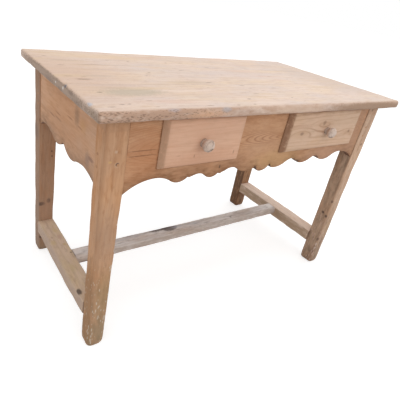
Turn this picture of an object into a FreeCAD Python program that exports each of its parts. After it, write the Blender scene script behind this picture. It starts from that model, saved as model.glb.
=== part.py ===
import FreeCAD, Part
import math
import os

# Farmhouse table with two drawers, scalloped aprons and an H of stretchers, in millimetres.
# +X is to the right seen from the front, +Y to the back and +Z up.
# The origin is on the floor under the centre of the top.

Vector = FreeCAD.Vector
EDGE_TOLERANCE = 0.01

# Top: three boards joined edge to edge by loose splines
HEIGHT = 780.0
TOP_LENGTH = 1222.0
TOP_DEPTH = 634.0
TOP_THICKNESS = 28.0
FRONT_BOARD_WIDTH = 214.0
BACK_BOARD_WIDTH = 206.0
TOP_CORNER_ROUND = 16.0
TOP_UPPER_ROUND = 10.0
TOP_LOWER_ROUND = 7.0
SPLINE_WIDTH = 24.0
SPLINE_THICKNESS = 8.0
SPLINE_END_COVER = 40.0
END_OVERHANG = 42.0
FRONT_OVERHANG = 43.0
BACK_OVERHANG = 19.0

# Legs: straight beside the aprons, tapered on the inner side below them
LEG_WIDTH = 62.0
LEG_DEPTH = 56.0
LEG_FOOT_WIDTH = 53.0
LEG_ARRIS_ROUND = 3.0
FOOT_ROUND = 9.0

# Aprons: set back a little from the legs' outer faces
APRON_THICKNESS = 24.0
APRON_RECESS = 3.0
FRONT_APRON_HEIGHT = 214.0
BACK_APRON_HEIGHT = 190.0
END_APRON_HEIGHT = 208.0
FRONT_SCALLOP_DEPTH = 35.0
END_SCALLOP_DEPTH = 24.0

# Apron joints: one tenon at each end, held by two pegs
APRON_TENON_THICKNESS = 10.0
APRON_TENON_HEIGHT = 150.0
APRON_TENON_DROP = 22.0
LONG_TENON_LENGTH = 36.0
END_TENON_LENGTH = 34.0
PEG_DIAMETER = 8.0
PEG_LENGTH = 40.0
LONG_PEG_SETBACK = 23.0
END_PEG_SETBACK = 18.0
UPPER_PEG_DROP = 89.0
PEG_SPACING = 35.0
PEGS_IN_TENON = 2
END_PEG_STAGGER = 17.0

# Stretchers: one between the legs at each end, and one along the middle
STRETCHER_TOP = 142.0
END_STRETCHER_WIDTH = 62.0
END_STRETCHER_HEIGHT = 50.0
END_STRETCHER_PROUD = 5.0
CENTRE_STRETCHER_WIDTH = 50.0
CENTRE_STRETCHER_HEIGHT = 32.0
CENTRE_STRETCHER_DROP = 1.0
STRETCHER_ROUND = 4.0
STRETCHER_TENON_THICKNESS = 16.0
END_STRETCHER_TENON_SETBACK = 20.0
END_STRETCHER_TENON_HEIGHT = 32.0
END_STRETCHER_TENON_LENGTH = 34.0
CENTRE_TENON_WIDTH = 32.0
CENTRE_TENON_LENGTH = 36.0
CENTRE_PEG_SETBACK = 18.0

# Drawers: a bevelled front that laps over its window, and a box on runners behind it. The stiles are
# what shows of the apron beside the outer edges, as shares of the length that both drawers leave free.
LEFT_DRAWER_WIDTH = 276.0
RIGHT_DRAWER_WIDTH = 376.0
LEFT_STILE_SHARE = 0.254
RIGHT_STILE_SHARE = 0.207
DRAWER_FRONT_HEIGHT = 144.0
DRAWER_FRONT_DROP = 6.0
DRAWER_FRONT_THICKNESS = 20.0
DRAWER_FRONT_RIM = 3.0
DRAWER_BEVEL = 11.0
DRAWER_LAP = 10.0
DRAWER_LAP_GAP = 0.2
DRAWER_STEP_THICKNESS = 12.0
DRAWER_SIDE_THICKNESS = 12.0
DRAWER_BACK_THICKNESS = 12.0
DRAWER_BACK_LOWERING = 8.0
DRAWER_BOTTOM_THICKNESS = 7.0
DRAWER_GROOVE_DEPTH = 5.0
DRAWER_GROOVE_LIFT = 9.0
DRAWER_SIDE_GAP = 1.0
DRAWER_TOP_GAP = 1.5
DRAWER_RUNNING_GAP = 0.3
DRAWER_BACK_SPACE = 78.0
DRAWER_PIN_DIAMETER = 5.0
DRAWER_PIN_LENGTH = 34.0
DRAWER_PIN_SPACING = 34.0

# Knobs: turned, each on a round tenon glued into its drawer front
KNOB_DIAMETER = 35.0
KNOB_LENGTH = 33.0
KNOB_BROW = 21.0
KNOB_RIM_HEIGHT = 6.0
KNOB_RIM_INSET = 3.0
KNOB_FOOT_DIAMETER = 19.0
KNOB_WAIST_DIAMETER = 14.0
KNOB_WAIST_PLACE = 8.0
KNOB_TENON_DIAMETER = 12.0
KNOB_TENON_LENGTH = 24.0
LEFT_KNOB_SHIFT = -10.0
RIGHT_KNOB_SHIFT = 8.0

# Drawer supports: rebated runners below and one kicker above each drawer
RUNNER_HEIGHT = 26.0
RUNNER_BEARING_WIDTH = 24.0
GUIDE_THICKNESS = 14.0
GUIDE_HEIGHT = 22.0
RUNNER_TENON_LENGTH = 10.0
RUNNER_TENON_HEIGHT = 14.0
RUNNER_SHOULDER_WIDTH = 6.0
KICKER_WIDTH = 40.0
KICKER_TENON_LENGTH = 8.0
KICKER_TENON_HEIGHT = 8.0
KICKER_SHOULDER_WIDTH = 8.0

# Top fixings: wooden buttons whose tongues sit in slots in the aprons, with a screw in each
BUTTON_WIDTH = 32.0
BUTTON_LENGTH = 40.0
BUTTON_HEIGHT = 20.0
BUTTON_TONGUE_LENGTH = 9.0
BUTTON_TONGUE_THICKNESS = 9.0
BUTTON_TONGUE_DROP = 10.0
SCREW_DIAMETER = 5.0
SCREW_HEAD_DIAMETER = 10.0
SCREW_HEAD_HEIGHT = 3.0
SCREW_BITE = 16.0
SCREW_TIP = 4.0

# Lower edge of half an apron, from the leg to the middle. Each knot is its place as a share of
# half the span, its rise as a share of the scallop depth, and how far the stretch before it
# sags below its chord, as a share of the same depth. A negative sag is a hollow.
FRONT_SCALLOP = (
    (1.0, 0.0, 0.0),
    (0.81, 1.0, -0.27),
    (0.72, 0.63, -0.09),
    (0.596, 0.63, 0.31),
    (0.588, 0.74, 0.0),
    (0.554, 0.80, 0.03),
    (0.479, 0.66, -0.17),
    (0.373, 0.56, 0.28),
    (0.365, 0.64, 0.0),
    (0.321, 0.74, 0.035),
    (0.213, 0.64, -0.27),
    (0.081, 0.57, 0.26),
    (0.071, 0.70, 0.0),
    (0.0, 0.16, 0.155),
)
END_SCALLOP = (
    (1.0, 0.36, 0.0),
    (0.69, 0.98, -0.15),
    (0.45, 0.5, -0.07),
    (0.03, 0.92, 0.65),
    (0.0, 1.0, 0.0),
)

# Places worked out from the sizes
UNDERSIDE = HEIGHT - TOP_THICKNESS
TOP_FRONT = -TOP_DEPTH / 2
TOP_BACK = TOP_DEPTH / 2
LEG_OUTER = TOP_LENGTH / 2 - END_OVERHANG
LEG_INNER = LEG_OUTER - LEG_WIDTH
BASE_FRONT = TOP_FRONT + FRONT_OVERHANG
BASE_BACK = TOP_BACK - BACK_OVERHANG
BASE_MIDDLE = (BASE_FRONT + BASE_BACK) / 2
LEG_INNER_FRONT = BASE_FRONT + LEG_DEPTH
LEG_INNER_BACK = BASE_BACK - LEG_DEPTH
FRONT_APRON_FACE = BASE_FRONT + APRON_RECESS
FRONT_APRON_INNER = FRONT_APRON_FACE + APRON_THICKNESS
BACK_APRON_INNER = BASE_BACK - APRON_RECESS - APRON_THICKNESS
END_APRON_FACE = LEG_OUTER - APRON_RECESS
END_APRON_INNER = END_APRON_FACE - APRON_THICKNESS
END_STRETCHER_OUTER = LEG_OUTER + END_STRETCHER_PROUD
END_STRETCHER_INNER = END_STRETCHER_OUTER - END_STRETCHER_WIDTH
DRAWER_FRONT_TOP = UNDERSIDE - DRAWER_FRONT_DROP
DRAWER_FRONT_FOOT = DRAWER_FRONT_TOP - DRAWER_FRONT_HEIGHT
WINDOW_TOP = DRAWER_FRONT_TOP - DRAWER_LAP
WINDOW_FOOT = DRAWER_FRONT_FOOT + DRAWER_LAP
BOX_TOP = WINDOW_TOP - DRAWER_TOP_GAP
BOX_FOOT = WINDOW_FOOT + DRAWER_RUNNING_GAP
BOX_START = FRONT_APRON_FACE - DRAWER_LAP_GAP
BOX_END = BACK_APRON_INNER - DRAWER_BACK_SPACE
DRAWER_FACE = BOX_START - DRAWER_FRONT_THICKNESS
BOTTOM_FOOT = BOX_FOOT + DRAWER_GROOVE_LIFT
BOTTOM_TOP = BOTTOM_FOOT + DRAWER_BOTTOM_THICKNESS

FREE_LENGTH = 2 * LEG_INNER - LEFT_DRAWER_WIDTH - RIGHT_DRAWER_WIDTH
LEFT_DRAWER_EDGE = -LEG_INNER + LEFT_STILE_SHARE * FREE_LENGTH
RIGHT_DRAWER_EDGE = LEG_INNER - RIGHT_STILE_SHARE * FREE_LENGTH

# Left and right edges of each drawer front, and how far its knob stands from the middle
DRAWERS = {
    "left": (LEFT_DRAWER_EDGE, LEFT_DRAWER_EDGE + LEFT_DRAWER_WIDTH, LEFT_KNOB_SHIFT),
    "right": (RIGHT_DRAWER_EDGE - RIGHT_DRAWER_WIDTH, RIGHT_DRAWER_EDGE, RIGHT_KNOB_SHIFT),
}


def box(x, y, z):
    """Block between two values on each axis."""
    return Part.makeBox(x[1] - x[0], y[1] - y[0], z[1] - z[0], Vector(x[0], y[0], z[0]))


def mirror_x(shape):
    """The same shape on the other end of the table."""
    return shape.mirror(Vector(0, 0, 0), Vector(1, 0, 0))


def mirror_y(shape):
    """The same shape on the other long side of the base."""
    return shape.mirror(Vector(0, BASE_MIDDLE, 0), Vector(0, 1, 0))


def corners(shape):
    """A shape of the front left corner, at all four corners of the base."""
    front = [shape, mirror_x(shape)]
    return front + [mirror_y(one) for one in front]


def lies_level(edge, height):
    """Whether an edge lies flat at a height."""
    return max(abs(edge.BoundBox.ZMin - height), abs(edge.BoundBox.ZMax - height)) < EDGE_TOLERANCE


def span_about(middle, width):
    """Both ends of a width laid out evenly about its middle."""
    return (middle - width / 2, middle + width / 2)


def window_span(side):
    """Left and right edges of a drawer's window in the front apron."""
    left, right, _ = DRAWERS[side]
    return (left + DRAWER_LAP, right - DRAWER_LAP)


def box_span(side):
    """Outer left and right faces of a drawer's box."""
    left, right = window_span(side)
    return (left + DRAWER_SIDE_GAP, right - DRAWER_SIDE_GAP)


# Joints of the front left corner

def long_tenon():
    """Tenon of the front apron in the front left leg."""
    middle = FRONT_APRON_FACE + APRON_THICKNESS / 2
    top = UNDERSIDE - APRON_TENON_DROP
    return box((-LEG_INNER - LONG_TENON_LENGTH, -LEG_INNER),
               span_about(middle, APRON_TENON_THICKNESS),
               (top - APRON_TENON_HEIGHT, top))


def end_tenon():
    """Tenon of the left apron in the front left leg."""
    middle = -END_APRON_FACE + APRON_THICKNESS / 2
    top = UNDERSIDE - APRON_TENON_DROP
    return box(span_about(middle, APRON_TENON_THICKNESS),
               (LEG_INNER_FRONT - END_TENON_LENGTH, LEG_INNER_FRONT),
               (top - APRON_TENON_HEIGHT, top))


def end_stretcher_tenon():
    """Tenon of the left stretcher in the front left leg."""
    start = -LEG_OUTER + END_STRETCHER_TENON_SETBACK
    middle = STRETCHER_TOP - END_STRETCHER_HEIGHT / 2
    return box((start, start + STRETCHER_TENON_THICKNESS),
               (LEG_INNER_FRONT - END_STRETCHER_TENON_LENGTH, LEG_INNER_FRONT),
               span_about(middle, END_STRETCHER_TENON_HEIGHT))


def centre_tenon():
    """Tenon of the centre stretcher in the left stretcher."""
    middle = STRETCHER_TOP - CENTRE_STRETCHER_DROP - CENTRE_STRETCHER_HEIGHT / 2
    return box((-END_STRETCHER_INNER - CENTRE_TENON_LENGTH, -END_STRETCHER_INNER),
               span_about(BASE_MIDDLE, CENTRE_TENON_WIDTH),
               span_about(middle, STRETCHER_TENON_THICKNESS))


def peg(start, direction):
    """Round draw peg driven in from a face."""
    return Part.makeCylinder(PEG_DIAMETER / 2, PEG_LENGTH, start, direction)


def apron_pegs():
    """Pegs through both apron tenons of the front left leg."""
    pegs = []
    for count in range(PEGS_IN_TENON):
        height = UNDERSIDE - UPPER_PEG_DROP - count * PEG_SPACING
        pegs.append(peg(Vector(-LEG_INNER - LONG_PEG_SETBACK, BASE_FRONT, height), Vector(0, 1, 0)))
        side = Vector(-LEG_OUTER, LEG_INNER_FRONT - END_PEG_SETBACK, height - END_PEG_STAGGER)
        pegs.append(peg(side, Vector(1, 0, 0)))
    return pegs


def leg_stretcher_peg():
    """Peg through the left stretcher's tenon in the front left leg."""
    middle = STRETCHER_TOP - END_STRETCHER_HEIGHT / 2
    return peg(Vector(-LEG_OUTER, LEG_INNER_FRONT - END_PEG_SETBACK, middle), Vector(1, 0, 0))


def centre_peg():
    """Peg driven up through the left stretcher and the centre stretcher's tenon."""
    foot = STRETCHER_TOP - END_STRETCHER_HEIGHT
    return peg(Vector(-END_STRETCHER_INNER - CENTRE_PEG_SETBACK, BASE_MIDDLE, foot), Vector(0, 0, 1))


# Top

def splines():
    """Loose tongues in the two seams of the top."""
    length = TOP_LENGTH / 2 - SPLINE_END_COVER
    middle = HEIGHT - TOP_THICKNESS / 2
    seams = (TOP_FRONT + FRONT_BOARD_WIDTH, TOP_BACK - BACK_BOARD_WIDTH)
    return [box((-length, length), span_about(seam, SPLINE_WIDTH), span_about(middle, SPLINE_THICKNESS))
            for seam in seams]


def top_slab():
    """The whole top with its rounded corners and edges."""
    slab = box(span_about(0, TOP_LENGTH), (TOP_FRONT, TOP_BACK), (UNDERSIDE, HEIGHT))
    upright = [edge for edge in slab.Edges if edge.BoundBox.ZLength > TOP_THICKNESS / 2]
    slab = slab.makeFillet(TOP_CORNER_ROUND, upright)
    for level, radius in ((HEIGHT, TOP_UPPER_ROUND), (UNDERSIDE, TOP_LOWER_ROUND)):
        rim = [edge for edge in slab.Edges if lies_level(edge, level)]
        slab = slab.makeFillet(radius, rim)
    return slab


def top_boards(screws):
    """Front, middle and back board, grooved for the splines and bored for the screws."""
    seams = (TOP_FRONT, TOP_FRONT + FRONT_BOARD_WIDTH, TOP_BACK - BACK_BOARD_WIDTH, TOP_BACK)
    slab = top_slab().cut(Part.makeCompound(splines() + screws))
    boards = {}
    for name, front, back in zip(("front", "middle", "back"), seams[:-1], seams[1:]):
        band = box(span_about(0, TOP_LENGTH), (front, back), (UNDERSIDE, HEIGHT))
        boards["top_board_" + name] = slab.common(band)
    return boards


# Base

def leg():
    """Front left leg with its mortises and peg holes."""
    taper_start = UNDERSIDE - FRONT_APRON_HEIGHT
    outline = ((-LEG_OUTER, 0), (-LEG_OUTER + LEG_FOOT_WIDTH, 0), (-LEG_INNER, taper_start),
               (-LEG_INNER, UNDERSIDE), (-LEG_OUTER, UNDERSIDE))
    points = [Vector(x, BASE_FRONT, z) for x, z in outline]
    post = Part.Face(Part.makePolygon(points + points[:1])).extrude(Vector(0, LEG_DEPTH, 0))
    arrises = [edge for edge in post.Edges if edge.BoundBox.ZLength > LEG_WIDTH]
    post = post.makeFillet(LEG_ARRIS_ROUND, arrises)
    sole = [edge for edge in post.Edges if lies_level(edge, 0)]
    post = post.makeFillet(FOOT_ROUND, sole)
    cuts = [long_tenon(), end_tenon(), end_stretcher_tenon(), leg_stretcher_peg()] + apron_pegs()
    return post.cut(Part.makeCompound(cuts))


def scalloped_edge(knots, half_span, foot, depth):
    """Edges of a scalloped lower edge from the left end to the right end, as arcs and lines."""
    half = [(-place * half_span, foot + rise * depth, sag * depth) for place, rise, sag in knots]
    runs = [(a[:2], b[:2], b[2]) for a, b in zip(half[:-1], half[1:])]
    runs += [((-b[0], b[1]), (-a[0], a[1]), sag) for a, b, sag in reversed(runs)]
    edges = []
    for (x0, z0), (x1, z1), sag in runs:
        start = Vector(x0, 0, z0)
        end = Vector(x1, 0, z1)
        if sag == 0:
            edges.append(Part.LineSegment(start, end).toShape())
        else:
            middle = Vector((x0 + x1) / 2, 0, (z0 + z1) / 2 - sag)
            edges.append(Part.Arc(start, middle, end).toShape())
    return edges


def scalloped_board(knots, half_span, height, depth):
    """Apron board with a scalloped lower edge, its face in the XZ plane and its middle at X 0."""
    foot = UNDERSIDE - height
    lower = scalloped_edge(knots, half_span, foot, depth)
    end = foot + knots[0][1] * depth
    rest = Part.makePolygon([Vector(half_span, 0, end), Vector(half_span, 0, UNDERSIDE),
                             Vector(-half_span, 0, UNDERSIDE), Vector(-half_span, 0, end)])
    face = Part.Face(Part.Wire(lower + rest.Edges))
    return face.extrude(Vector(0, APRON_THICKNESS, 0))


def front_apron(supports, buttons, pegs):
    """Scalloped front apron with a window for each drawer."""
    board = scalloped_board(FRONT_SCALLOP, LEG_INNER, FRONT_APRON_HEIGHT, FRONT_SCALLOP_DEPTH)
    board.translate(Vector(0, FRONT_APRON_FACE, 0))
    apron = board.fuse([long_tenon(), mirror_x(long_tenon())])
    windows = [box(window_span(side), (FRONT_APRON_FACE, FRONT_APRON_INNER), (WINDOW_FOOT, WINDOW_TOP))
               for side in DRAWERS]
    return apron.cut(Part.makeCompound(windows + supports + buttons + pegs)).removeSplitter()


def back_apron(supports, buttons, pegs):
    """Plain back apron."""
    board = box((-LEG_INNER, LEG_INNER), (BACK_APRON_INNER, BACK_APRON_INNER + APRON_THICKNESS),
                (UNDERSIDE - BACK_APRON_HEIGHT, UNDERSIDE))
    tenons = [mirror_y(long_tenon()), mirror_y(mirror_x(long_tenon()))]
    apron = board.fuse(tenons)
    return apron.cut(Part.makeCompound(supports + buttons + pegs)).removeSplitter()


def left_apron(buttons, pegs):
    """Scalloped apron at the left end."""
    half_span = (LEG_INNER_BACK - LEG_INNER_FRONT) / 2
    board = scalloped_board(END_SCALLOP, half_span, END_APRON_HEIGHT, END_SCALLOP_DEPTH)
    board.rotate(Vector(0, 0, 0), Vector(0, 0, 1), -90)
    board.translate(Vector(-END_APRON_FACE, BASE_MIDDLE, 0))
    apron = board.fuse([end_tenon(), mirror_y(end_tenon())])
    return apron.cut(Part.makeCompound(buttons + pegs)).removeSplitter()


def left_stretcher(pegs):
    """Stretcher between the two left legs, mortised for the centre stretcher."""
    bar = box((-END_STRETCHER_OUTER, -END_STRETCHER_INNER), (LEG_INNER_FRONT, LEG_INNER_BACK),
              (STRETCHER_TOP - END_STRETCHER_HEIGHT, STRETCHER_TOP))
    along = [edge for edge in bar.Edges if edge.BoundBox.YLength > END_STRETCHER_WIDTH]
    bar = bar.makeFillet(STRETCHER_ROUND, along)
    bar = bar.fuse([end_stretcher_tenon(), mirror_y(end_stretcher_tenon())])
    return bar.cut(Part.makeCompound([centre_tenon()] + pegs))


def centre_stretcher(pegs):
    """Long stretcher between the two end stretchers."""
    top = STRETCHER_TOP - CENTRE_STRETCHER_DROP
    bar = box((-END_STRETCHER_INNER, END_STRETCHER_INNER), span_about(BASE_MIDDLE, CENTRE_STRETCHER_WIDTH),
              (top - CENTRE_STRETCHER_HEIGHT, top))
    along = [edge for edge in bar.Edges if edge.BoundBox.XLength > CENTRE_STRETCHER_WIDTH]
    bar = bar.makeFillet(STRETCHER_ROUND, along)
    bar = bar.fuse([centre_tenon(), mirror_x(centre_tenon())])
    return bar.cut(Part.makeCompound(pegs))


# Drawer supports

def runner(window_edge, inward):
    """Rebated runner whose guide stands at a window's edge; inward is the way to the drawer's middle."""
    guide = sorted((window_edge, window_edge - inward * GUIDE_THICKNESS))
    bearing = sorted((window_edge - inward * GUIDE_THICKNESS, window_edge + inward * RUNNER_BEARING_WIDTH))
    length = (FRONT_APRON_INNER, BACK_APRON_INNER)
    foot = WINDOW_FOOT - RUNNER_HEIGHT
    bar = box(bearing, length, (foot, WINDOW_FOOT))
    rail = box(guide, length, (WINDOW_FOOT, WINDOW_FOOT + GUIDE_HEIGHT))
    tenon = box((bearing[0] + RUNNER_SHOULDER_WIDTH, bearing[1] - RUNNER_SHOULDER_WIDTH),
                (length[0] - RUNNER_TENON_LENGTH, length[1] + RUNNER_TENON_LENGTH),
                span_about(foot + RUNNER_HEIGHT / 2, RUNNER_TENON_HEIGHT))
    return bar.fuse([rail, tenon]).removeSplitter()


def kicker(side):
    """Batten under the top that keeps an open drawer from tipping."""
    middle = sum(window_span(side)) / 2
    bar = box(span_about(middle, KICKER_WIDTH), (FRONT_APRON_INNER, BACK_APRON_INNER),
              (WINDOW_TOP, UNDERSIDE))
    tenon = box(span_about(middle, KICKER_WIDTH - 2 * KICKER_SHOULDER_WIDTH),
                (FRONT_APRON_INNER - KICKER_TENON_LENGTH, BACK_APRON_INNER + KICKER_TENON_LENGTH),
                span_about((WINDOW_TOP + UNDERSIDE) / 2, KICKER_TENON_HEIGHT))
    return bar.fuse(tenon).removeSplitter()


def drawer_supports():
    """Both runners and the kicker of each drawer."""
    supports = {}
    for side in DRAWERS:
        left, right = window_span(side)
        supports[side + "_drawer_left_runner"] = runner(left, 1)
        supports[side + "_drawer_right_runner"] = runner(right, -1)
        supports[side + "_drawer_kicker"] = kicker(side)
    return supports


# Top fixings

def button_seats():
    """Place on each apron's inner face, and the turn that faces from it into the table.

    Along the front and the back they stand clear of the drawers, in the middle of what is left.
    """
    left_window = window_span("left")
    right_window = window_span("right")
    places = ((-LEG_INNER + left_window[0]) / 2, (left_window[1] + right_window[0]) / 2,
              (right_window[1] + LEG_INNER) / 2)
    seats = [(Vector(x, FRONT_APRON_INNER, 0), 90) for x in places]
    seats += [(Vector(x, BACK_APRON_INNER, 0), -90) for x in places]
    seats.append((Vector(-END_APRON_INNER, BASE_MIDDLE, 0), 0))
    seats.append((Vector(END_APRON_INNER, BASE_MIDDLE, 0), 180))
    return seats


def seated(shape, seat, turn):
    """A shape drawn at the origin facing +X, turned and set down at its seat."""
    placed = shape.copy()
    placed.rotate(Vector(0, 0, 0), Vector(0, 0, 1), turn)
    placed.translate(seat)
    return placed


def screw():
    """Countersunk wood screw, head down, at the middle of a button that faces +X."""
    foot = UNDERSIDE - BUTTON_HEIGHT
    radius = SCREW_DIAMETER / 2
    length = BUTTON_HEIGHT + SCREW_BITE
    place = BUTTON_LENGTH / 2
    head = Part.makeCone(SCREW_HEAD_DIAMETER / 2, radius, SCREW_HEAD_HEIGHT, Vector(place, 0, foot))
    shank = Part.makeCylinder(radius, length - SCREW_HEAD_HEIGHT - SCREW_TIP,
                              Vector(place, 0, foot + SCREW_HEAD_HEIGHT))
    tip = Part.makeCone(radius, 0, SCREW_TIP, Vector(place, 0, foot + length - SCREW_TIP))
    return head.fuse([shank, tip])


def button():
    """Wooden button with its tongue, facing +X from the apron's inner face."""
    block = box((0, BUTTON_LENGTH), span_about(0, BUTTON_WIDTH), (UNDERSIDE - BUTTON_HEIGHT, UNDERSIDE))
    tongue_top = UNDERSIDE - BUTTON_TONGUE_DROP
    tongue = box((-BUTTON_TONGUE_LENGTH, 0), span_about(0, BUTTON_WIDTH),
                 (tongue_top - BUTTON_TONGUE_THICKNESS, tongue_top))
    return block.fuse(tongue).removeSplitter().cut(screw())


# Drawers

def drawer_front(side, pins):
    """Front that laps over the window, bevelled all round, with a step that fills the window."""
    left, right, _ = DRAWERS[side]
    inner = box_span(side)
    rim_start = BOX_START - DRAWER_FRONT_RIM
    rim = box((left, right), (rim_start, BOX_START), (DRAWER_FRONT_FOOT, DRAWER_FRONT_TOP))
    loops = []
    for inset, place in ((0, rim_start), (DRAWER_BEVEL, DRAWER_FACE)):
        low = DRAWER_FRONT_FOOT + inset
        high = DRAWER_FRONT_TOP - inset
        ring = [Vector(left + inset, place, low), Vector(right - inset, place, low),
                Vector(right - inset, place, high), Vector(left + inset, place, high)]
        loops.append(Part.makePolygon(ring + ring[:1]))
    field = Part.makeLoft(loops, True, True)
    step = box((inner[0] + DRAWER_SIDE_THICKNESS, inner[1] - DRAWER_SIDE_THICKNESS),
               (BOX_START, BOX_START + DRAWER_STEP_THICKNESS), (BOX_FOOT, BOX_TOP))
    cuts = [drawer_bottom(side), knob_tenon(side)] + pins
    return rim.fuse([field, step]).removeSplitter().cut(Part.makeCompound(cuts))


def drawer_bottom(side):
    """Bottom panel that slides in grooves and runs under the back."""
    left, right = box_span(side)
    inset = DRAWER_SIDE_THICKNESS - DRAWER_GROOVE_DEPTH
    start = BOX_START + DRAWER_STEP_THICKNESS - DRAWER_GROOVE_DEPTH
    return box((left + inset, right - inset), (start, BOX_END), (BOTTOM_FOOT, BOTTOM_TOP))


def drawer_side(outer, inward, grooved):
    """One side of a drawer's box; inward is the way to the drawer's middle."""
    wall = sorted((outer, outer + inward * DRAWER_SIDE_THICKNESS))
    return box(wall, (BOX_START, BOX_END), (BOX_FOOT, BOX_TOP)).cut(Part.makeCompound(grooved))


def drawer_back(side, pins):
    """Back that stands on the bottom panel between the sides."""
    left, right = box_span(side)
    panel = box((left + DRAWER_SIDE_THICKNESS, right - DRAWER_SIDE_THICKNESS),
                (BOX_END - DRAWER_BACK_THICKNESS, BOX_END), (BOTTOM_TOP, BOX_TOP - DRAWER_BACK_LOWERING))
    return panel.cut(Part.makeCompound(pins))


def drawer_pins(side):
    """Wooden pins through the sides into the front's step and into the back."""
    left, right = box_span(side)
    places = (BOX_START + DRAWER_STEP_THICKNESS / 2, BOX_END - DRAWER_BACK_THICKNESS / 2)
    middle = (BOTTOM_TOP + BOX_TOP) / 2
    pins = []
    for place in places:
        for count in (-1, 0, 1):
            height = middle + count * DRAWER_PIN_SPACING
            for outer, inward in ((left, 1), (right, -1)):
                pins.append(Part.makeCylinder(DRAWER_PIN_DIAMETER / 2, DRAWER_PIN_LENGTH,
                                              Vector(outer, place, height), Vector(inward, 0, 0)))
    return pins


def knob_seat(side):
    """Middle of a knob's foot on its drawer's face."""
    left, right, shift = DRAWERS[side]
    return Vector((left + right) / 2 + shift, DRAWER_FACE, (DRAWER_FRONT_FOOT + DRAWER_FRONT_TOP) / 2)


def knob_tenon(side):
    """Round tenon of a knob, glued into the drawer front."""
    return Part.makeCylinder(KNOB_TENON_DIAMETER / 2, KNOB_TENON_LENGTH, knob_seat(side), Vector(0, 1, 0))


def knob(side):
    """Turned mushroom knob: a hollow neck, an undercut brow and a domed crown."""
    foot = KNOB_FOOT_DIAMETER / 2
    waist = KNOB_WAIST_DIAMETER / 2
    brow = KNOB_DIAMETER / 2
    crown = KNOB_LENGTH - KNOB_BROW
    dome = (brow * brow + crown * crown) / (2 * crown)
    half_turn = math.asin(brow / dome) / 2
    shoulder = Vector(brow - KNOB_RIM_INSET, -KNOB_BROW + KNOB_RIM_HEIGHT, 0)
    rim = Vector(brow, -KNOB_BROW, 0)
    cap = Vector(dome * math.sin(half_turn), dome - KNOB_LENGTH - dome * math.cos(half_turn), 0)
    end = Vector(0, -KNOB_LENGTH, 0)
    edges = [
        Part.LineSegment(Vector(0, 0, 0), Vector(foot, 0, 0)).toShape(),
        Part.Arc(Vector(foot, 0, 0), Vector(waist, -KNOB_WAIST_PLACE, 0), shoulder).toShape(),
        Part.LineSegment(shoulder, rim).toShape(),
        Part.Arc(rim, cap, end).toShape(),
        Part.LineSegment(end, Vector(0, 0, 0)).toShape(),
    ]
    body = Part.Face(Part.Wire(edges)).revolve(Vector(0, 0, 0), Vector(0, 1, 0), 360)
    body.translate(knob_seat(side))
    return body.fuse(knob_tenon(side)).removeSplitter()


def drawer(side):
    """All the pieces of one drawer."""
    left, right = box_span(side)
    pins = drawer_pins(side)
    grooved = [drawer_bottom(side)] + pins
    name = side + "_drawer_"
    return {
        name + "front": drawer_front(side, pins),
        name + "left_side": drawer_side(left, 1, grooved),
        name + "right_side": drawer_side(right, -1, grooved),
        name + "back": drawer_back(side, pins),
        name + "bottom": drawer_bottom(side),
        name + "pins": Part.makeCompound(pins),
        name + "knob": knob(side),
    }


def table():
    """Every piece of the table, by name."""
    corner_pegs = [one for peg_shape in apron_pegs() for one in corners(peg_shape)]
    centre_pegs = [centre_peg(), mirror_x(centre_peg())]
    stretcher_pegs = corners(leg_stretcher_peg()) + centre_pegs
    supports = drawer_supports()
    bars = list(supports.values())
    seats = button_seats()
    buttons = [seated(button(), *seat) for seat in seats]
    screws = [seated(screw(), *seat) for seat in seats]
    tongues = [one.fuse(two) for one, two in zip(buttons, screws)]
    left_end = left_apron(tongues, corner_pegs)
    left_bar = left_stretcher(stretcher_pegs)
    front_left, front_right, back_left, back_right = corners(leg())
    pieces = {
        "front_left_leg": front_left,
        "front_right_leg": front_right,
        "back_left_leg": back_left,
        "back_right_leg": back_right,
        "front_apron": front_apron(bars, tongues, corner_pegs),
        "back_apron": back_apron(bars, tongues, corner_pegs),
        "left_apron": left_end,
        "right_apron": mirror_x(left_end),
        "left_stretcher": left_bar,
        "right_stretcher": mirror_x(left_bar),
        "centre_stretcher": centre_stretcher(stretcher_pegs),
        "top_splines": Part.makeCompound(splines()),
        "apron_pegs": Part.makeCompound(corner_pegs),
        "stretcher_pegs": Part.makeCompound(stretcher_pegs),
        "top_buttons": Part.makeCompound(buttons),
        "top_screws": Part.makeCompound(screws),
    }
    pieces.update(top_boards(screws))
    pieces.update(supports)
    for side in DRAWERS:
        pieces.update(drawer(side))
    return pieces


os.makedirs("parts", exist_ok=True)
for node, shape in table().items():
    shape.exportStep("parts/" + node + ".step")
    print(node, len(shape.Solids), round(shape.Volume), shape.isValid())
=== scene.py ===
import logging
import math
from dataclasses import dataclass, replace
from enum import Enum
from typing import Sequence

import bmesh
import bpy
import numpy as np
from mathutils import Matrix, Vector


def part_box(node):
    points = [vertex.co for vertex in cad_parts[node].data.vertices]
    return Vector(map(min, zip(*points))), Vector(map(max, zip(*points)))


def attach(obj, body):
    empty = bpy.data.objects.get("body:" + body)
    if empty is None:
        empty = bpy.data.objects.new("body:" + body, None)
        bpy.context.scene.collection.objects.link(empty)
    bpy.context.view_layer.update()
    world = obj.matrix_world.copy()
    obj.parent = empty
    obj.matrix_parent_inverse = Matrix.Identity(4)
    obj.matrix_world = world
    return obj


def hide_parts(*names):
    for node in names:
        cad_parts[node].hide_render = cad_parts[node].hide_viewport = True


# Looks of a stripped pine farmhouse table with two drawers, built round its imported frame.
# Sizes are in millimetres where a name ends in _mm or a docstring says so, and in metres elsewhere.

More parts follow.
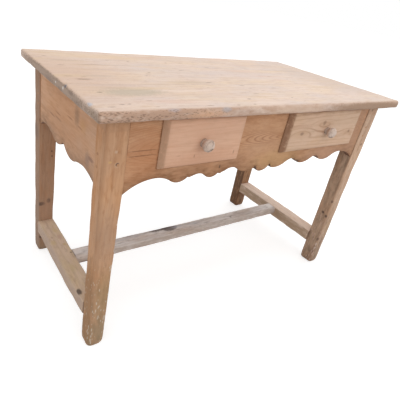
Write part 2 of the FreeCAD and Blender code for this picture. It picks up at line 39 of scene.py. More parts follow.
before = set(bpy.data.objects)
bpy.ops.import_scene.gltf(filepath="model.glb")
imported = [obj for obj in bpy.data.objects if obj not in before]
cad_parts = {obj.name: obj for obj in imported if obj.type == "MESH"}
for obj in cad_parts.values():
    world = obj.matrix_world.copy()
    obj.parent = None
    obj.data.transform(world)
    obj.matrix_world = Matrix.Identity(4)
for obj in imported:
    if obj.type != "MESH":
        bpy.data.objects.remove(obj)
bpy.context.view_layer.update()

MM = 0.001
PHOTO_SIDE = 400
SENSOR_MM = 36.0
WHITE = (1.0, 1.0, 1.0, 1.0)

Triple = tuple[float, float, float]
Four = tuple[float, float, float, float]
Tree = bpy.types.NodeTree
Socket = bpy.types.NodeSocket
NONE: Four = (0.0, 0.0, 0.0, 0.0)
log = logging.getLogger("farmhouse_table")

# Sizes of the patterns in the wood, along the fibres and both ways across them. Single fibres are too
# fine to show, so bundles of them are drawn; pits, nicks and specks of paint are drawn coarser too.
FIBRE_MM: Triple = (90.0, 2.6, 2.6)
STREAK_MM: Triple = (420.0, 16.0, 16.0)
PATCH_MM: Triple = (260.0, 110.0, 110.0)
TINT_MM: Triple = (150.0, 38.0, 38.0)
MOTTLE_MM: Triple = (34.0, 11.0, 11.0)
PIT_MM: Triple = (10.0, 2.8, 2.8)
FLECK_MM: Triple = (20.0, 6.0, 6.0)
BEND_MM: Triple = (1000.0 / 3.0, 1000.0 / 11.0, 1000.0 / 11.0)
# How far apart the frayed bits of a stain's outline and the specks of rust on a screw are.
FRAY_MM = 6.25
RUST_MM = 3.0
# How far a drawer front laps over the apron round its window.
LAP_MM = 10.0
# Distance over which the painted shade under the overhang of the top fades downwards.
SHADE_MM = 15.0
# Rings that close the end of a bar, as shares of its section.
CAP_SHARES = (0.0, 0.4, 0.75)
# Stations along the rounding at the end of a bar.
TURN_STATIONS = 8
# Points round a knob.
KNOB_POINTS = 72
# Angle between two faces above which their edge stays sharp, and distance below which two points are one.
SHARP_DEGREES = 38.0
WELD = 1e-6


class Grain(Enum):
    """Which way the fibres of a piece run: along the table, across it or up it."""

    ALONG = 0
    ACROSS = 1
    UP = 2


class Side(Enum):
    """Which of the two drawers it is, seen from the front."""

    LEFT = "left"
    RIGHT = "right"


def linear(tone: str) -> Four:
    """Linear colour of an sRGB hex value.

    Args:
        tone: Six hex digits, red first.

    Returns:
        Red, green and blue in linear light, and an alpha of one.
    """
    shares = np.array([int(tone[i:i + 2], 16) for i in (0, 2, 4)]) / 255.0
    lit = np.where(shares <= 0.04045, shares / 12.92, ((shares + 0.055) / 1.055) ** 2.4)
    return (*lit.tolist(), 1.0)


def add(tree: Tree, kind: str, inputs: dict[str | int, object], **settings: object) -> bpy.types.Node:
    """Adds a node, with its settings, its links and the values of its free sockets.

    Args:
        tree: The node tree that takes it.
        kind: The node's type, without the words ShaderNode before it.
        inputs: Socket name or number, with the socket that feeds it or its own value.
        **settings: The node's other properties.

    Returns:
        The new node.
    """
    node = tree.nodes.new("ShaderNode" + kind)
    for name, value in settings.items():
        setattr(node, name, value)
    for name, value in inputs.items():
        if isinstance(value, Socket):
            tree.links.new(value, node.inputs[name])
        else:
            node.inputs[name].default_value = value
    return node


def bare_tree(owner: bpy.types.ID) -> Tree:
    """Gives a material or a world an empty node tree.

    Args:
        owner: The material or the world.

    Returns:
        The tree.
    """
    owner.use_nodes = True
    owner.node_tree.nodes.clear()
    return owner.node_tree


def overlay(tree: Tree, under: object, tone: str, value: Socket, low: float, high: float,
            strength: float) -> Socket:
    """Lays a tone over a colour as a value goes from low to high.

    Args:
        tree: The node tree.
        under: The colour below, or the socket with it.
        tone: The tone, as an sRGB hex value.
        value: What decides where the tone lies.
        low: Value below which none of it shows.
        high: Value above which it shows at its strength.
        strength: The most of it that shows.

    Returns:
        The socket with the colour.
    """
    share = add(tree, "MapRange", {"Value": value, 1: low, 2: high, 3: 0.0, 4: strength})
    return add(tree, "Mix", {0: share.outputs[0], 6: under, 7: linear(tone)}, data_type="RGBA").outputs[2]


@dataclass(frozen=True)
class Mark:
    """A knot, stain, scuff, hole or patch of painted shade at one place on a piece.

    Attributes:
        at: Its middle, in millimetres.
        reach: How far it goes along X, Y and Z, in millimetres.
        tone: Its colour, as an sRGB hex value.
        strength: How much of its colour covers the wood.
        core: Share of its reach that has the full strength.
        swell: How far it pushes the growth rings aside, in millimetres.
        figure: How much more the growth rings show there.
    """

    at: Triple
    reach: Triple
    tone: str
    strength: float = 0.7
    core: float = 0.35
    swell: float = 0.0
    figure: float = 0.0


@dataclass(frozen=True)
class Cut:
    """How a piece was sawn from its tree.

    Attributes:
        grain: The way of the fibres.
        pith: A point that the heart of the tree passes through, in millimetres.
        tilt: How far the heart leans from the fibres, about each of the axes, in degrees.
        squash: How many times narrower the rings are on the face than through the piece.
    """

    grain: Grain
    pith: Triple
    tilt: Triple = (0.0, 0.0, 0.0)
    squash: float = 1.0

    def turn(self) -> Matrix:
        """The rotation from the frame to the tree, whose heart runs along X.

        Returns:
            The rotation: the turn of the fibres after the lean about X, Y and Z.
        """
        base = {
            Grain.ALONG: Matrix.Identity(3),
            Grain.ACROSS: Matrix.Rotation(-math.pi / 2, 3, "Z"),
            Grain.UP: Matrix.Rotation(math.pi / 2, 3, "Y"),
        }[self.grain]
        lean = Matrix.Identity(3)
        for degrees, axis in zip(self.tilt, "XYZ"):
            lean = Matrix.Rotation(math.radians(degrees), 3, axis) @ lean
        return base @ lean


@dataclass(frozen=True)
class Pine:
    """Old pine, stripped of its paint and left bare: dry, matt and a little bleached.

    Early wood is pale and late wood is a warmer line at the outer side of each ring, which the
    stripping has softened. Fibres show as fine streaks, and the years as grey and brown patches.

    Attributes:
        pale: Early wood.
        warm: Late wood.
        deep: Darker streaks along the fibres.
        grey: Weathered patches.
        edge: Worn arrises.
        dirt_and_shade: Ingrained dirt, whose tone also paints shade where a piece asks for it.
        fleck: Specks of old paint.
        blush: Warmer or yellower clouds.
        pit: Inside of pits and nicks.
        ring_mm: Width of a growth ring.
        contrast: Strength of the late wood's line.
        line: Share of a ring's width where that line begins.
        streaks: Strength of the darker streaks.
        tinting: Strength of the warmer clouds.
        mottling: Strength of the small mottles.
        weather: Strength of the weathered patches.
        wander_mm: How far the rings wander from a true circle.
        wear: Strength of the worn arrises.
        dirt_and_shade_strength: Strength of the ingrained dirt and of the painted shade.
        rough: Roughness of the bare surface.
        fibres: Strength of the fine fibres.
        pitting: Strength of the pits' colour.
        flecking: Strength of the specks of paint.
    """

    pale: str
    warm: str
    deep: str
    grey: str
    edge: str
    dirt_and_shade: str = "7A614C"
    fleck: str = "DCD5CB"
    blush: str = "C89468"
    pit: str = "5E4638"
    ring_mm: float = 7.0
    contrast: float = 0.6
    line: float = 0.5
    streaks: float = 0.4
    tinting: float = 0.35
    mottling: float = 0.3
    weather: float = 0.4
    wander_mm: float = 6.0
    wear: float = 0.35
    dirt_and_shade_strength: float = 0.8
    rough: float = 0.7
    fibres: float = 0.35
    pitting: float = 0.56
    flecking: float = 0.6

    def material(self, name: str, cut: Cut, marks: Sequence[Mark] = ()) -> bpy.types.Material:
        """Makes the material of one piece.

        Args:
            name: The material's name.
            cut: How the piece was sawn.
            marks: Knots, stains and painted shade on it.

        Returns:
            The material.
        """
        made = bpy.data.materials.new(name)
        tree = bare_tree(made)
        place = add(tree, "TexCoord", {}).outputs["Object"]
        turn = cut.turn()
        heart = turn @ Vector(cut.pith) * MM
        sawn = {"Vector": place, "Rotation": turn.to_euler(), "Location": -heart}
        trunk = add(tree, "Mapping", sawn).outputs[0]
        fray = {"Vector": place, "Scale": 1.0 / (FRAY_MM * MM), "Detail": 2.0}
        ragged = add(tree, "TexNoise", fray).outputs["Fac"]
        found = [(self.nearness(tree, place, ragged, mark), mark) for mark in marks]

        late = self.rings(tree, trunk, cut.squash, [(near, mark.swell) for near, mark in found if mark.swell])
        fibre, streak, patch, tint, mottle = (
            self.clouds(tree, trunk, size, detail) for size, detail in (
                (FIBRE_MM, 4.0), (STREAK_MM, 3.0), (PATCH_MM, 4.0), (TINT_MM, 3.0), (MOTTLE_MM, 3.0)))
        pitted = self.spots(tree, trunk, "pitted", PIT_MM, 0.2)
        flecked = self.spots(tree, trunk, "flecked", FLECK_MM, 0.27)
        plain = tint
        for near, mark in found:
            if mark.figure:
                more = {0: near, 1: mark.figure, 2: plain}
                plain = add(tree, "Math", more, operation="MULTIPLY_ADD").outputs[0]
        shown = add(tree, "Math", {0: late, 1: plain}, operation="MULTIPLY").outputs[0]
        # Wear at the arrises, and dirt together with painted shade, each broken up by clouds.
        rubbed, dirt_and_shade_share = (
            add(tree, "Math", {0: add(tree, "Attribute", {}, attribute_name=title).outputs["Fac"], 1: cloud},
                operation="MULTIPLY").outputs[0] for title, cloud in (("arris", patch), ("soiled_and_shaded", mottle)))

        # Each layer's tone, what decides where it lies, its lowest and highest value, and its strength.
        layers = [
            (self.warm, shown, 0.1, 0.9, self.contrast), (self.blush, tint, 0.44, 0.62, self.tinting),
            (self.deep, streak, 0.48, 0.72, self.streaks), (self.grey, patch, 0.42, 0.68, self.weather),
            (self.deep, mottle, 0.5, 0.72, self.mottling), (self.deep, fibre, 0.52, 0.8, self.fibres),
            (self.edge, rubbed, 0.1, 0.55, self.wear), (self.dirt_and_shade, dirt_and_shade_share, 0.1, 0.48, self.dirt_and_shade_strength)]
        layers += [(mark.tone, near, 0.0, 1.0, mark.strength) for near, mark in found if mark.strength]
        layers += [(self.pit, pitted, 0.0, 1.0, self.pitting), (self.fleck, flecked, 0.0, 1.0, self.flecking)]
        colour = linear(self.pale)
        for layer in layers:
            colour = overlay(tree, colour, *layer)

        height = add(tree, "Math", {0: late, 1: fibre}, operation="SUBTRACT").outputs[0]
        height = add(tree, "Math", {0: height, 1: pitted}, operation="SUBTRACT").outputs[0]
        bump = add(tree, "Bump", {"Height": height, "Strength": 0.45, "Distance": 0.5 * MM})
        spread = {"Value": fibre, 1: 0.3, 2: 0.7, 3: self.rough - 0.06, 4: self.rough + 0.1}
        rough = add(tree, "MapRange", spread)
        surface = add(tree, "BsdfPrincipled", {
            "Base Color": colour, "Roughness": rough.outputs[0], "Normal": bump.outputs[0],
            "IOR": 1.5, "Specular IOR Level": 0.3})
        add(tree, "OutputMaterial", {"Surface": surface.outputs[0]})
        return made

    @staticmethod
    def nearness(tree: Tree, place: Socket, ragged: Socket, mark: Mark) -> Socket:
        """One in the middle of a mark, and nothing beyond its reach.

        Args:
            tree: The node tree.
            place: The point on the surface.
            ragged: Cloudy values that fray the outline of a stain.
            mark: The mark.

        Returns:
            The socket with the value.
        """
        scale = [1.0 / (reach * MM) for reach in mark.reach]
        shift = [-at / reach for at, reach in zip(mark.at, mark.reach)]
        local = add(tree, "Mapping", {"Vector": place, "Scale": scale, "Location": shift}).outputs[0]
        far = add(tree, "VectorMath", {0: local}, operation="LENGTH").outputs["Value"]
        # A stain's outline is ragged, but the rings swell smoothly round a knot.
        uneven = 0.0 if mark.swell else 0.5
        far = add(tree, "Math", {0: ragged, 1: uneven, 2: far}, operation="MULTIPLY_ADD").outputs[0]
        fall = {"Value": far, 1: uneven / 2 + mark.core, 2: uneven / 2 + 1.0, 3: 1.0, 4: 0.0}
        return add(tree, "MapRange", fall, interpolation_type="SMOOTHSTEP").outputs[0]

    @staticmethod
    def clouds(tree: Tree, trunk: Socket, size_mm: Triple, detail: float) -> Socket:
        """Cloudy values drawn out along the fibres.

        Args:
            tree: The node tree.
            trunk: The point in the tree, whose heart runs along X.
            size_mm: Size of a cloud along the fibres, and both ways across them.
            detail: How many finer clouds there are.

        Returns:
            The socket with the value.
        """
        local = add(tree, "Mapping", {"Vector": trunk, "Scale": [1.0 / (size * MM) for size in size_mm]})
        noise = {"Vector": local.outputs[0], "Scale": 1.0, "Detail": detail, "Roughness": 0.6}
        return add(tree, "TexNoise", noise).outputs["Fac"]

    def rings(self, tree: Tree, trunk: Socket, squash: float,
              swells: Sequence[tuple[Socket, float]]) -> Socket:
        """Growth rings: the distance from the heart in ring widths, rising to one at each outer line.

        Args:
            tree: The node tree.
            trunk: The point in the tree, whose heart runs along X.
            squash: How many times narrower the rings are along Z than along Y.
            swells: Nearness of each knot, and how far it pushes the rings aside in millimetres.

        Returns:
            The socket with the value.
        """
        local = add(tree, "Mapping", {"Vector": trunk, "Scale": [1.0 / (size * MM) for size in BEND_MM]})
        noise = add(tree, "TexNoise", {"Vector": local.outputs[0], "Scale": 1.0, "Detail": 2.0})
        shift = add(tree, "VectorMath", {0: noise.outputs["Color"], 1: (0.5, 0.5, 0.5)}, operation="SUBTRACT")
        wander = 2.0 * self.wander_mm * MM
        bent = add(tree, "VectorMath", {0: shift.outputs[0], 1: (0.0, wander, wander), 2: trunk},
                   operation="MULTIPLY_ADD")
        flat = add(tree, "VectorMath", {0: bent.outputs[0], 1: (0.0, 1.0, squash)}, operation="MULTIPLY")
        radius = add(tree, "VectorMath", {0: flat.outputs[0]}, operation="LENGTH").outputs["Value"]
        for near, swell in swells:
            aside = {0: near, 1: swell * MM, 2: radius}
            radius = add(tree, "Math", aside, operation="MULTIPLY_ADD").outputs[0]
        count = add(tree, "Math", {0: radius, 1: 1.0 / (self.ring_mm * MM)}, operation="MULTIPLY")
        share = add(tree, "Math", {0: count.outputs[0]}, operation="FRACT")
        ramp = add(tree, "ValToRGB", {"Fac": share.outputs[0]})
        ramp.color_ramp.interpolation = "EASE"
        stops = ramp.color_ramp.elements
        for stop, position in zip(stops, (0.0, 1.0)):
            stop.position, stop.color = position, (0.25, 0.25, 0.25, 1.0)
        for position, value in ((0.12, 0.0), (self.line, 0.12), (0.88, 1.0)):
            stops.new(position).color = (value, value, value, 1.0)
        return ramp.outputs["Color"]

    @staticmethod
    def spots(tree: Tree, trunk: Socket, attribute: str, apart_mm: Triple, bare: float) -> Socket:
        """Small scattered spots, larger where one of the piece's values is larger.

        Args:
            tree: The node tree.
            trunk: The point in the tree, whose heart runs along X.
            attribute: Name of the piece's value.
            apart_mm: Mean distance between two spots, along the fibres and both ways across.
            bare: Cloud value below which there are none.

        Returns:
            The socket with the value: one in a spot, and nothing outside.
        """
        worn = add(tree, "Attribute", {}, attribute_name=attribute).outputs["Fac"]
        scale = [1.0 / (size * MM) for size in apart_mm]
        local = add(tree, "Mapping", {"Vector": trunk, "Scale": scale}).outputs[0]
        cells = add(tree, "TexVoronoi", {"Vector": local, "Scale": 1.0, "Randomness": 1.0})
        noise = add(tree, "TexNoise", {"Vector": local, "Scale": 0.3, "Detail": 3.0})
        most = {"Value": noise.outputs["Fac"], 1: bare, 2: bare + 0.34, 3: 0.0, 4: 0.46}
        cloud = add(tree, "MapRange", most)
        bound = add(tree, "Math", {0: cloud.outputs[0], 1: worn}, operation="MULTIPLY")
        inside = add(tree, "Math", {0: bound.outputs[0], 1: cells.outputs["Distance"]}, operation="SUBTRACT")
        return add(tree, "MapRange", {"Value": inside.outputs[0], 1: 0.0, 2: 0.12, 3: 0.0, 4: 1.0}).outputs[0]


@dataclass(frozen=True)
class DrawnSteel:
    """Plain steel wire that wood screws are cut from: grey, dulled, with faint rust.

    Attributes:
        bright: The steel.
        rust: The rust on it.
    """

    bright: str
    rust: str

    def material(self, name: str) -> bpy.types.Material:
        """Makes the material.

        Args:
            name: The material's name.

        Returns:
            The material.
        """
        made = bpy.data.materials.new(name)
        tree = bare_tree(made)
        place = add(tree, "TexCoord", {}).outputs["Object"]
        specks = {"Vector": place, "Scale": 1.0 / (RUST_MM * MM), "Detail": 4.0}
        cloud = add(tree, "TexNoise", specks).outputs["Fac"]
        colour = overlay(tree, linear(self.bright), self.rust, cloud, 0.45, 0.7, 0.7)
        rough = add(tree, "MapRange", {"Value": cloud, 1: 0.3, 2: 0.7, 3: 0.35, 4: 0.65})
        surface = add(tree, "BsdfPrincipled", {
            "Base Color": colour, "Roughness": rough.outputs[0], "Metallic": 1.0})
        add(tree, "OutputMaterial", {"Surface": surface.outputs[0]})
        return made


# Pine scrubbed and bleached by years of washing: pinkish cream, with broad soft rings and grey clouds.
TOP_PINE = Pine(pale="E8D2C2", warm="D2AE94", deep="C8A994", grey="D8C8C2", edge="CDB19C", dirt_and_shade="BC9A84",
                blush="E6CDB0", pit="6E5342", ring_mm=12.0, contrast=0.5, streaks=0.35, tinting=0.6,
                mottling=0.45, weather=0.7, wander_mm=18.0, wear=0.3, dirt_and_shade_strength=1.0)
# Pine dipped to strip its paint and left bare: an even dry tan with soft brown lines.
BASE_PINE = Pine(pale="CF9E76", warm="B2784C", deep="A26D47", grey="BD9A80", edge="B08768", dirt_and_shade="88765C",
                 blush="C38653", streaks=0.4, tinting=0.45, weather=0.35)
# The same on the front apron, sawn near the heart: close red-brown lines on tan.
FRONT_PINE = replace(BASE_PINE, pale="CE9F7A", warm="935A39", dirt_and_shade="7A5233", blush="C08A62", ring_mm=5.5,
                     contrast=0.75, line=0.55, wander_mm=3.0)
# The same on the end aprons: paler and clouded with grey.
END_PINE = replace(BASE_PINE, pale="DAAC89", warm="BD8860", deep="A97751", grey="C2A088", blush="CA956A",
                   weather=0.5, dirt_and_shade="8A6850")
# Sawn edges of the aprons, dark brown: dirt that the stripping hardly reached, and painted shade on the
# undersides.
EDGE_DIRT_AND_SHADE_PINE = replace(BASE_PINE, pale="80583E", warm="6C4630", deep="5C3D2B", grey="846350", edge="70503A",
                    dirt_and_shade="5C3F2E", blush="785038")
# The back left leg, which stands in shade: darker, duller tones as painted shade, and more clouded.
BACK_PINE = replace(BASE_PINE, pale="BD9171", warm="A47450", deep="8B6144", grey="AA8C78", dirt_and_shade="94806E",
                    blush="B27A50", tinting=0.6)
# The back right leg: tan, with a dark brown that paints dirt at its foot and shade on the face that looks
# left.
FAR_PINE = replace(BASE_PINE, pale="C59770", warm="A87449", deep="94653F", grey="B08D73", dirt_and_shade="4E3322")
# The front right leg: greyed and mottled, with faint pink specks of paint.
GREYED_PINE = replace(BASE_PINE, pale="D3AF92", warm="BA9375", deep="927058", grey="C8B19E", dirt_and_shade="766150",
                      blush="BC8E6E", mottling=0.5, tinting=0.55, fleck="D0B2A6")
# The front left leg: mottled tan, with pale specks of paint along its arris.
FLECKED_PINE = replace(BASE_PINE, pale="D3A27A", deep="A06E46", mottling=0.5, tinting=0.6, weather=0.5,
                       dirt_and_shade="8E7A60", fleck="D8CDBC")
# The left drawer front, a finer board: smooth pinkish tan, with little figure.
LEFT_DRAWER_PINE = Pine(pale="DFB295", warm="CC9877", deep="C08F71", grey="D0B09A", edge="BE987D",
                        dirt_and_shade="BC9A7E", blush="E2AD8E", ring_mm=6.0, contrast=0.6, streaks=0.25,
                        weather=0.25, mottling=0.2)
# The right drawer front: paler, with strong brown rings that bend round its knots.
RIGHT_DRAWER_PINE = Pine(pale="D8B59A", warm="A87A5C", deep="B08D70", grey="CCB7A4", edge="B79A80",
                         dirt_and_shade="8C664C", blush="D3AC86", ring_mm=8.0, contrast=0.75, line=0.6, streaks=0.25,
                         weather=0.3, mottling=0.2)
# Stretchers that feet have rubbed and mops have wetted: greyed, mottled and dull.
STRETCHER_PINE = Pine(pale="D4BAA0", warm="BE9F81", deep="A98C7A", grey="C4AA9F", edge="B8A292",
                      dirt_and_shade="B59C8C", blush="CBB187", streaks=0.25, tinting=0.6, mottling=0.6, weather=0.6)
# The centre stretcher, with old whitewash in its pores: chalky, with brown streaks.
LIMED_PINE = replace(STRETCHER_PINE, pale="E8DFDA", warm="C2B2A8", deep="998982", grey="EAE6E5",
                     dirt_and_shade="BAA698", blush="C8AE9C", streaks=0.6, weather=0.65, mottling=0.65)
# The right stretcher: paler and cleaner.
BRIGHT_PINE = replace(STRETCHER_PINE, pale="EAD2C0", warm="DDBEA6", deep="C8AC97", grey="E2D2C7",
                      edge="CDB5A2", dirt_and_shade="AC8F73", blush="E6C8AE")
# Pine straight from the saw, never painted: yellowish, rougher, with clear rings.
SAWN_PINE = Pine(pale="DABA98", warm="C0956E", deep="A27E5E", grey="BFA890", edge="B59373", ring_mm=6.0,
                 contrast=0.9, streaks=0.3, weather=0.2, rough=0.8)
# Close-grained wood turned to knobs, with old whitewash in its pores: pale grey-brown, worn pink.
KNOB_WOOD = Pine(pale="D6C0B1", warm="AE9482", deep="8A6C5C", grey="E2D2C7", edge="BBA899", dirt_and_shade="785E50",
                 blush="C6A994", ring_mm=3.0, contrast=0.5, streaks=0.3, weather=0.6, mottling=0.35,
                 wander_mm=3.0)
# Cleft pegs rubbed with oil: narrow rings in a deeper tan.
PEG_WOOD = Pine(pale="C0906A", warm="A87650", deep="936748", grey="B08F76", edge="A07C60", ring_mm=2.5,
                contrast=0.8, streaks=0.4, weather=0.3, wander_mm=1.0)
# Drawn steel gone dull: grey, with brown rust.
SCREW_STEEL = DrawnSteel(bright="9A9893", rust="6E5140")
